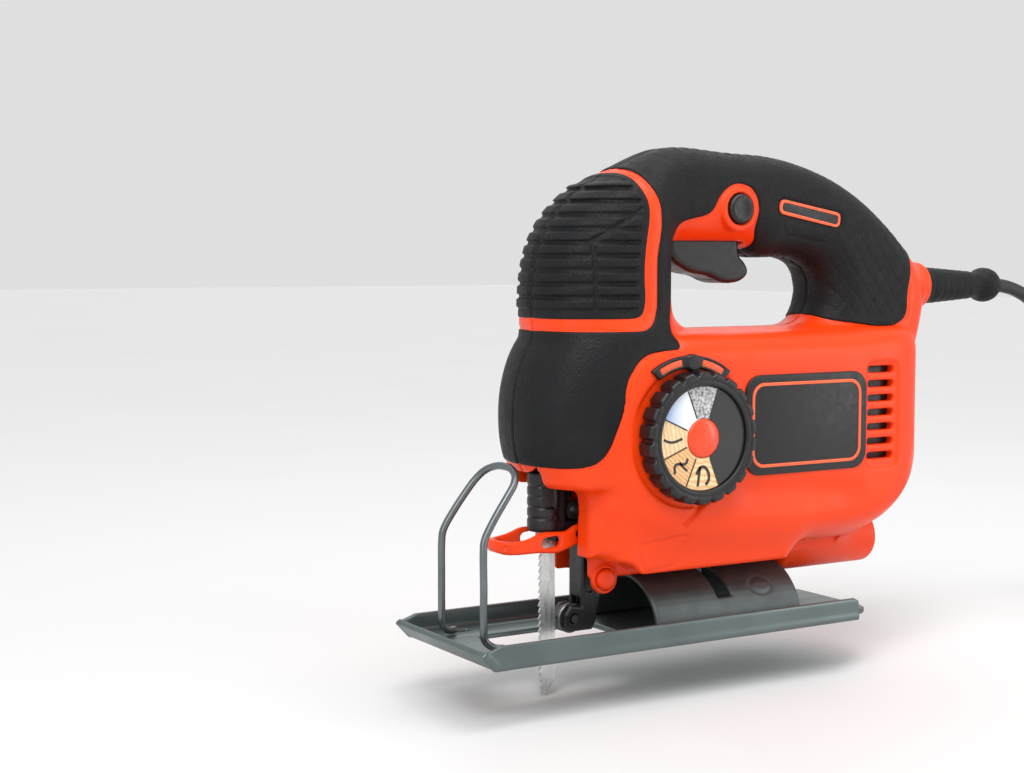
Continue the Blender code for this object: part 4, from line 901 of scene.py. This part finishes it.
lines = []
for a in (112, 156, 201, 246, 292, 70):
    lines.append(([pol(r, a) for r in np.linspace(9.2, 21.8, 6)], 0.55))
lines.append(([pol(r, 178 + 5 * math.sin((r - 11) / 10 * math.pi)) for r in np.linspace(11, 20.5, 12)], 1.0))
lines.append(([pol(r, 222 + 6 * math.sin((r - 11) / 9 * math.tau)) for r in np.linspace(11.5, 20.5, 16)], 1.1))
lines.append(([pol(15.6, a) for a in np.linspace(217, 238, 10)], 0.9))
lines.append(([pol(16 + 4 * math.cos(t), 269 + 12 * math.sin(t)) for t in np.linspace(0.4, 4.6, 18)], 1.3))
lines.append(([pol(r, 262) for r in np.linspace(12, 20.4, 5)], 1.2))
V, F = [], []
for P, w in lines:
    v, f = ribbon(P, w, -44.32)
    F += [[i + len(V) for i in q] for q in f]
    V += v
lin = add_mesh("dial_print_lines", V, F, [LM[5]])
bm = bmesh.new()
bm.from_mesh(lin.data)
bmesh.ops.recalc_face_normals(bm, faces=bm.faces)
bm.to_mesh(lin.data)
bm.free()
finish_piece(lin, "dial", (), 0, smooth=False)
cap = [(0, 0), (8.2, 0), (8.3, 0.3), (8.3, 0.9), (8.0, 1.35), (7.2, 1.75), (6.0, 2.05), (4.0, 2.28), (2.0, 2.38), (0, 2.4)]
finish_piece(lathe("dial_centre", cap, (DX, -43.3, DZ), (0, -1, 0), [M["cap"]], 64), "dial",
             ["dial_cap"], smooth=True, angle=50)

# -------------------------------------------------------- the fixed pointer over the dial
g = Grid((-26, -39.5, 111), (26, -34.4, 127), 0.42)
P = arc(-2, 89, 34.8, 52, 125, 24) + arc(-2, 89, 29.4, 123, 54, 24)
d = g.ext([(x, z) for x, z in P], -38.2, -35.4, 0.7)
P1 = arc(-2, 89, 33.6, 58, 79, 8) + arc(-2, 89, 30.6, 79, 58, 8)
P2 = arc(-2, 89, 33.6, 98, 119, 8) + arc(-2, 89, 30.6, 119, 98, 8)
knob = g.cyl("Y", (-2 + 31.6 * math.cos(math.radians(88)), 89 + 31.6 * math.sin(math.radians(88))), 3.7, -39.0, -35.4, 0.9)
d = smin(d, knob, 1.2)
for Q in (P1, P2):
    d = smax(d, -g.ext(Q, -41, -37.6, 0.2), 0.4)
from_field("dial_mark", d.astype(f4), g, M["plastic"], "tool", ["dial_pointer"])
for i, Q in enumerate((P1, P2)):
    finish_piece(prism("dial_mark_window_%d" % (i + 1), Q, -37.75, -37.0, [M["ring"]]), "tool", (), 0.15, 2)

# --------------------------------------------------------------- trigger and buttons
g = Grid((5, -10.4, 151.5), (55, 10.4, 178), 0.55)
d = g.ext(rounded(TRG, 3.5), -9, 9, 2.6)
for k in range(5):
    x = 33.5 + 3.4 * k
    d = d + f4(0.45) * np.exp(-((g.X - x) / 0.7) ** 2) * (g.Z < 159) * (np.abs(g.Y) < 6.6)
from_field("trigger_paddle", d.astype(f4), g, M["plastic"], "trigger_body", ["trigger"])
prof = [(0, 0), (LR, 0), (LR, 7.6), (LR - 0.35, 8.4), (LR - 1.1, 8.9), (LR - 2.0, 9.0), (3.2, 8.6), (1.6, 8.45), (0, 8.4)]
finish_piece(lathe("lock_cap", prof, (LX, -14.3, LZ), (0, -1, 0), [M["plastic"]], 56), "lock",
             ["lock_button"], angle=50)
prof = [(0, 0), (BR, 0), (BR, 3.2), (BR - 0.4, 3.9), (BR - 1.2, 4.25), (1.5, 4.4), (0, 4.4)]
finish_piece(lathe("blower_knob", prof, (BX, -13.0, BZ), (0, -1, 0), [M["orange"]], 48), "blower",
             ["blower_button"], angle=50)

# ------------------------------------------------------------------ clamp, lever, blade
LPX, LPZ = -40.0, 47.0
g = Grid((-61, -8.5, 41), (-34, 8.5, 76), 0.42)
d = g.cyl("Z", (-52, 0), 7.0, 48, 74, 1.2)
for c in (g.box(-50, -36.3, -6, 6, 43.5, 52, 1), g.box(-51, -44, -6, 6, 50, 70, 1),
          g.box(-52, -40.6, -5.6, 5.6, 61.5, 73, 1)):
    d = smin(d, c, 0.8)
for z in (54, 58.6, 63.2, 67.8):
    d = d + f4(0.5) * np.exp(-((g.Z - z) / 0.55) ** 2) * (g.X < -50)
d = smax(d, -g.box(-55.0, -45.9, -0.95, 0.95, 40, 64, 0.1), 0.2)
d = smax(d, -g.cyl("Z", (-47, 0), 4.35, 66.2, 80, 0.1), 0.2)
d = smax(d, -g.cyl("Y", (LPX, LPZ), 1.9, -20, 20, 0.1), 0.2)
d = smax(d, -g.ext(rrect(-57.2, -49.5, 58.5, 70.5, 2, 4), -20, -5.6, 0.3), 0.4)
from_field("clamp_block", d.astype(f4), g, M["plastic"], "plunger", ["blade_clamp_body"])

side_view = [(-35.6, 47), (-36.6, 50.2), (-40, 51.4), (-43.4, 50.2), (-46, 48.4), (-58, 49), (-65, 46.5), (-72, 45.6),
             (-78.6, 46.4), (-78.6, 42.5), (-76, 40.2), (-60, 40.2), (-51, 39.2), (-46, 40.6), (-41, 42.4), (-37, 43.6)]
g = Grid((-80.5, -12, 37.5), (-33, 12, 53), 0.42)
d = g.ext(rounded(side_view, 2.4), -12, 12, 0.5)
plan = [(-34, -10.4), (-34, 10.4)] + arc(-68, 0, 10.4, 90, 270, 18)
d = smax(d, g.flat(plan, "Z") + 0 * g.X, 1.6)
inner = [(-30, -7.4), (-30, 7.4)] + arc(-67.5, 0, 7.4, 90, 270, 16)
d = smax(d, -g.flat(inner, "Z") + 0 * g.X, 1.4)
d = smax(d, -g.cyl("Y", (LPX, LPZ), 1.9, -20, 20, 0.1), 0.2)
slot_p = arc(-51.5, 44.6, 2.4, -90, 90, 6) + arc(-56.5, 44.2, 2.4, 90, 270, 6)
d = smax(d, -g.ext(slot_p, -20, 20, 0.1), 0.6)
from_field("clamp_lever_loop", d.astype(f4), g, M["orange"], "lever", ["clamp_lever"])

TX0, TX1 = -54.5, -46.4
teeth, z, i = [], 38.0, 0
while z > -19.5:
    teeth += [(TX0 + 1.4, z), (TX0 + 0.7, z - 1.0), (TX0 + 0.05, z - 2.45), (TX0 + 0.9, z - 2.75)]
    z -= 2.9
BL = [(TX1, 62.6), (TX0 + 0.6, 62.6), (TX0 + 0.4, 62.0), (TX0 + 0.4, 40)] + teeth + \
     [(TX0 + 1.2, -20.6), (TX0 + 1.7, -23.7), (TX0 + 3.0, -23.8), (TX1 - 0.2, -18.4), (TX1, -17.6)]
bl = prism("saw_blade_ground", BL, -0.6, 0.6, [M["blade"]])
for v in bl.data.vertices:
    if v.co.x * 1000 < TX0 + 0.5 and v.co.z < 0.037:
        k = int(round((38.0 - v.co.z * 1000 - 2.45) / 2.9))
        v.co.y *= 0.5
        v.co.y += (0.00022 if k % 2 else -0.00022)
finish_piece(bl, "plunger", ["saw_blade"], 0, smooth=False)

# --------------------------------------------------------------------- roller arm
g = Grid((-46, -7, 1.8), (-26, 7, 62), 0.45)
d = g.ext([(-35.4, 14), (-35.4, 56), (-33.4, 60), (-29.6, 60), (-27.6, 56), (-27.6, 8), (-30, 3.4),
           (-41, 3.4), (-44, 6), (-44, 11), (-41, 15)], -5.6, 5.6, 1.0)
d = smax(d, -g.box(-60, -32.4, -3.35, 3.35, -10, 17.5, 0.5), 0.5)
d = smax(d, -g.cyl("Y", (-39.4, 9), 2.2, -20, 20, 0.1), 0.3)
d = smax(d, -g.cyl("Y", (-31.5, 55), 2.3, -20, 20, 0.1), 0.3)
for s in (-1, 1):
    d = smax(d, -g.ext(rrect(-33.6, -29.6, 20, 48, 1.6, 4), *sorted((s * 4.6, s * 9)), 0.3), 0.5)
from_field("roller_fork", d.astype(f4), g, M["plastic"], "roller_arm_body", ["roller_arm"])
prof = [(2.2, -3), (6.1, -3), (6.6, -2.5), (6.6, -1.7), (6.1, -1.0), (5.9, 0), (6.1, 1.0), (6.6, 1.7), (6.6, 2.5),
        (6.1, 3), (2.2, 3)]
finish_piece(lathe("guide_wheel", prof, (-39.4, 0, 9), (0, 1, 0), [M["hard"]], 48, True), "roller",
             ["guide_roller"], angle=40)

# ------------------------------------------------------------------------ the shoe
g = Grid((-106, -40, -1.6), (113, 40, 11.6), 0.74)
d = g.box(-97.5, 95, -38, 38, 0, 2.5, 0.7)
d = smin(d, g.ext([(-98, 0), (-92, 0), (-92, 2.5), (-96.6, 2.5), (-102.4, 8.2), (-104.2, 6.4)], -38, 38, 0.6), 0.8)
for s in (-1, 1):
    y0, y1 = sorted((s * 35.5, s * 38))
    d = smin(d, g.ext([(-98, 0), (95, 0), (95, 8.6), (92.5, 10), (-95, 10), (-104.0, 6.8)], y0, y1, 0.9), 1.4)
tongue = [(88, -31)] + arc(99, -19, 12, -90, 0, 8) + arc(99, 19, 12, 0, 90, 8) + [(88, 31)]
d = smin(d, g.ext(tongue, 0, 2.5, 0.7, "Z"), 0.3)
hole = arc(-26, 8, 6, 0, 90, 6) + arc(-72, 8, 6, 90, 180, 6) + arc(-72, -8, 6, 180, 270, 6) + arc(-26, -8, 6, 270, 360, 6)
d = smax(d, -g.ext(hole, -5, 8, 0.1, "Z"), 0.8)
for s in (-1, 1):
    y0, y1 = sorted((s * 24, s * 28))
    d = smax(d, -g.box(-86, -74, y0, y1, -5, 8, 0.3), 0.5)
    # pressed beads along the plate
    d = d - f4(0.55) * np.exp(-((g.Y - s * 29.5) / 1.5) ** 2) * (g.Z > 1.2) * np.clip((g.X + 66) / 3, 0, 1) * \
        np.clip((84 - g.X) / 3, 0, 1)
    d = d + f4(0.5) * np.exp(-((g.Y - s * 16.0) / 0.8) ** 2) * (g.Z > 1.2) * np.clip((g.X + 90) / 3, 0, 1) * \
        np.clip((-20 - g.X) / 3, 0, 1)
from_field("sole_pressing", d.astype(f4), g, M["shoe"], "shoe", ["shoe_plate"], 0.8)

g = Grid((-10.5, -33, 1.6), (72.5, 33, 28), 0.7)
AR, AT = 26.0, 2.5
A = [(31, 2.8), (31, 5.3)] + arc(0, 0, AR, 12, 168, 24) + [(-31, 5.3), (-31, 2.8)] + arc(0, 0, AR - AT, 173.2, 6.8, 24)
d = g.ext(A, -9, 71, 0.7, "X")
d = smax(d, -g.box(26, 34, -21, 21, 9, 40, 0.4), 0.8)
for s in (-1, 1):
    # angle notches along the free edges of the arch
    for k in range(4):
        x = 2 + 7.0 * k
        d = smax(d, -g.box(x - 1.0, x + 1.0, *sorted((s * 27.5, s * 34)), 2.0, 8, 0.2), 0.4)
    d = smax(d, -g.box(40, 58, *sorted((s * 28.0, s * 34)), 4.2, 8, 0.4), 0.5)
d = d + f4(0.45) * np.exp(-((np.hypot((g.X - 52) / 1.8, g.Z - 17) - 3.2) / 0.5) ** 2) * (np.abs(g.Y) > 12)
from_field("tilt_arch", d.astype(f4), g, M["arch"], "shoe", ["shoe_arch"], 0.9)

half = [(-84, -21, 4.5), (-88, -19.5, 5.0), (-91.5, -18.2, 8), (-92, -18, 14), (-92, -18, 30), (-92, -17.8, 44),
        (-91, -17.4, 50), (-86, -16.8, 58), (-80, -16.2, 66), (-76, -15.2, 71), (-73.4, -12, 74.5), (-71.8, -6, 76.6)]
wire = half + [(-71.5, 0, 77)] + [(x, -y, z) for x, y, z in reversed(half)]
finish_piece(tube("guard_wire", catmull(wire, 150), 1.6, [M["wire"]], 20), "shoe", ["wire_guard"],
             angle=60)

# ---------------------------------------------------------------- cord, relief, plug
prof = [(0, 144), (9, 144), (9, 147.2), (7.0, 147.2), (7.0, 164.2), (9.0, 164.4), (9.3, 165.2), (9.1, 168.2), (8.5, 168.8)]
x = 170.0
while x < 198:
    r = 8.9 - (x - 168) * 0.072
    prof += [(r - 0.14, x), (r, x + 0.5), (r - 0.1, x + 3.9), (r - 0.2, x + 4.4)]
    x += 4.7
prof += [(6.4, 200), (6.3, 203), (7.0, 204.4), (8.0, 206), (8.5, 208), (8.6, 209.5), (8.4, 211.4), (7.7, 213.6),
         (6.5, 215.4), (5.2, 216.6), (4.3, 217), (3.7, 216.6), (3.7, 211), (0, 211)]
finish_piece(lathe("cord_sleeve", prof, (0, 0, CORD_Z), (1, 0, 0), [M["tpe"]], 56), "tool",
             ["strain_relief"], angle=50)


def step(t):
    t = min(1.0, max(0.0, t))
    return t * t * (3 - 2 * t)


path = [tuple(p) for p in catmull(ROUTE, 34)]
path[0] = (211.4, 0, 151.5)
# turns: (radius, height) at the start of each, changing over a third of a turn
turns = [(45, 0), (38, 0), (31, 0), (31, 1), (38, 1), (45, 1), (45, 2)]
prev = (52.5, 0)
for r, lay in turns:
    for k in range(1, 25):
        t = step(k / 8)
        a = math.radians(-90 + 15 * k)
        rr = prev[0] + (r - prev[0]) * t
        zz = BENCH + CORD_R + 7.0 * (prev[1] + (lay - prev[1]) * t)
        path.append((CX + rr * math.cos(a), CY + rr * math.sin(a), zz))
    prev = (r, lay)
TOP = BENCH + 20.8
for k in range(1, 16):
    a = -90 + 15 * k
    rr = 45 + (38 - 45) * step(k / 8)
    z0, z1 = BENCH + CORD_R + 14.0, TOP + CORD_R + 0.4
    zz = z0 + (z1 - z0) * step((a - 30) / 105)
    path.append((CX + rr * math.cos(math.radians(a)), CY + rr * math.sin(math.radians(a)), zz))
PLUG_Z = TOP + 9.0
for k in range(1, 11):
    t = k / 10
    a = math.radians(135 + 135 * t)
    path.append((CX - 7.8 + 27 * math.cos(a), CY + 7.8 + 27 * math.sin(a),
                 TOP + CORD_R + 0.4 + step(t) * (PLUG_Z - TOP - CORD_R - 0.4)))
PX, PY = CX + 26, CY - 19.2
path.append((PX - 31.0, PY, PLUG_Z))
path.append((PX - 28.8, PY, PLUG_Z))
path = np.array(path)
length = float(np.linalg.norm(np.diff(path, axis=0), axis=1).sum()) / 1000
cu = bpy.data.curves.new("power_cord", "CURVE")
cu.dimensions = "3D"
sp = cu.splines.new("NURBS")
sp.points.add(len(path) - 1)
for p, c in zip(sp.points, path):
    p.co = (*(c * 0.001), 1)
sp.order_u = 4
sp.use_endpoint_u = True
sp.resolution_u = 5
cu.bevel_depth = CORD_R * 0.001
cu.bevel_resolution = 4
cu.use_fill_caps = True
cord = bpy.data.objects.new("power_cord", cu)
bpy.context.scene.collection.objects.link(cord)
cord.data.materials.append(M["cord"])
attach(cord, "tool")
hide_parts("cord_lead", "cord_coil", "cord_tail")
print("cord", round(length, 3))

# the plug, with a grip waist and ribs on its neck
g = Grid((PX - 35.5, PY - 18.5, PLUG_Z - 9.2), (PX + 18, PY + 18.5, PLUG_Z + 9.2), 0.6)
pl = [(PX + x, PY + y) for x, y in [(-22, -5), (-6, -16), (14, -17), (16, -14), (16, 14), (14, 17), (-6, 16), (-22, 5)]]
d = g.ext(rounded(pl, 5), PLUG_Z - 8, PLUG_Z + 8, 4.2, "Z")
d = smin(d, g.cyl("X", (PY, PLUG_Z), 4.9, PX - 34, PX - 14, 0.8), 4)
for k in range(4):
    d = d + f4(0.6) * np.exp(-((g.X - (PX - 31.0 + 3.4 * k)) / 0.6) ** 2)
for k in range(5):
    d = d + f4(0.5) * np.exp(-((g.X - (PX - 6 + 3.6 * k)) / 0.6) ** 2) * (np.abs(g.Z - PLUG_Z) > 5) * (np.abs(g.Y - PY) < 10)
d = smax(d, -g.cyl("X", (PY, PLUG_Z), 3.6, PX - 42, PX - 28, 0.1), 0.3)
plug = from_field("plug_moulding", d.astype(f4), g, M["plastic"], "tool", ["plug_body"])
for s, tag in ((-1, "a"), (1, "b")):
    prof = [(0, -1), (2.3, -1), (2.3, 8.4), (2.05, 8.6), (2.05, 16.2), (1.8, 17.6), (1.1, 18.5), (0, 18.7)]
    p = lathe("plug_prong_" + tag, prof, (PX + 16.3, PY + s * 9.3, PLUG_Z), (1, 0, 0), [M["brass"], M["plastic"]], 28)
    for f in p.data.polygons:
        if f.center.x * 1000 < PX + 16.3 + 8.5:
            f.material_index = 1
    finish_piece(p, "tool", ["plug_pin_" + tag], angle=50)

# a tie round the coil
g = Grid((CX - 8, CY + 24, BENCH - 0.6), (CX + 8, CY + 52, BENCH + 24), 0.5)
sec = g.flat(rrect(CY + 26.4, CY + 49.6, BENCH + 0.05, BENCH + 22.4, 4.0, 5), "X")
wall = np.abs(sec + 0.5) - 0.5
d = np.maximum(wall, np.abs(g.X - CX) - 3.2)
d = smin(d, g.box(CX - 4.2, CX + 4.2, CY + 34, CY + 42, BENCH + 21.4, BENCH + 23.4, 0.5), 0.5)
tie = from_field("cord_tie", d.astype(f4), g, M["tpe"], "tool")

# ------------------------------------------------------------------- floor, light, camera
fm = material("pale_floor", srgb(216, 216, 216), 0.75, vary=0.01, vary_scale=4, grain=300, grain_h=0.00002)
me = bpy.data.meshes.new("floor")
me.from_pydata([(-6, -6, BENCH / 1000), (6, -6, BENCH / 1000), (6, 10, BENCH / 1000), (-6, 10, BENCH / 1000)], [],
               [(0, 1, 2, 3)])
floor = bpy.data.objects.new("floor", me)
bpy.context.scene.collection.objects.link(floor)
me.materials.append(fm)


def lamp(name, loc, at, size, power, colour=(1, 1, 1)):
    li = bpy.data.lights.new(name, "AREA")
    li.shape, li.size, li.size_y = "RECTANGLE", size[0], size[1]
    li.energy, li.color = power, colour
    o = bpy.data.objects.new(name, li)
    o.location = loc
    o.rotation_euler = (Vector(at) - Vector(loc)).to_track_quat("-Z", "Y").to_euler()
    bpy.context.scene.collection.objects.link(o)


def sun(name, at, power, spread):
    li = bpy.data.lights.new(name, "SUN")
    li.energy, li.angle = power, math.radians(spread)
    o = bpy.data.objects.new(name, li)
    o.location = at
    o.rotation_euler = (-Vector(at)).to_track_quat("-Z", "Y").to_euler()
    bpy.context.scene.collection.objects.link(o)


sun("key", (-1.0, -1.1, 1.9), 1.25, 28)
sun("back", (0.9, 1.3, 1.4), 0.35, 45)
lamp("top", (0.1, -0.25, 1.1), (0.03, 0, 0.15), (0.9, 0.35), 4.5)
lamp("left", (-1.0, -0.55, 0.55), (0.0, 0, 0.12), (0.25, 0.9), 2.6)
lamp("right", (0.85, -0.75, 0.35), (0.05, 0, 0.1), (0.22, 0.8), 2.2)
w = bpy.data.worlds.new("studio")
w.use_nodes = True
w.node_tree.nodes["Background"].inputs["Color"].default_value = (1, 1, 1, 1)
w.node_tree.nodes["Background"].inputs["Strength"].default_value = 0.74
bpy.context.scene.world = w
bpy.context.scene.view_settings.view_transform = "Standard"

cam = bpy.data.cameras.new("camera")
cam.lens, cam.sensor_width = 1700 * 36 / 1024, 36
co = bpy.data.objects.new("camera", cam)
co.location = (-0.4367, -0.6142, 0.1646)
co.rotation_euler = (math.radians(85.7), 0, math.radians(-31))
bpy.context.scene.collection.objects.link(co)
bpy.context.scene.camera = co
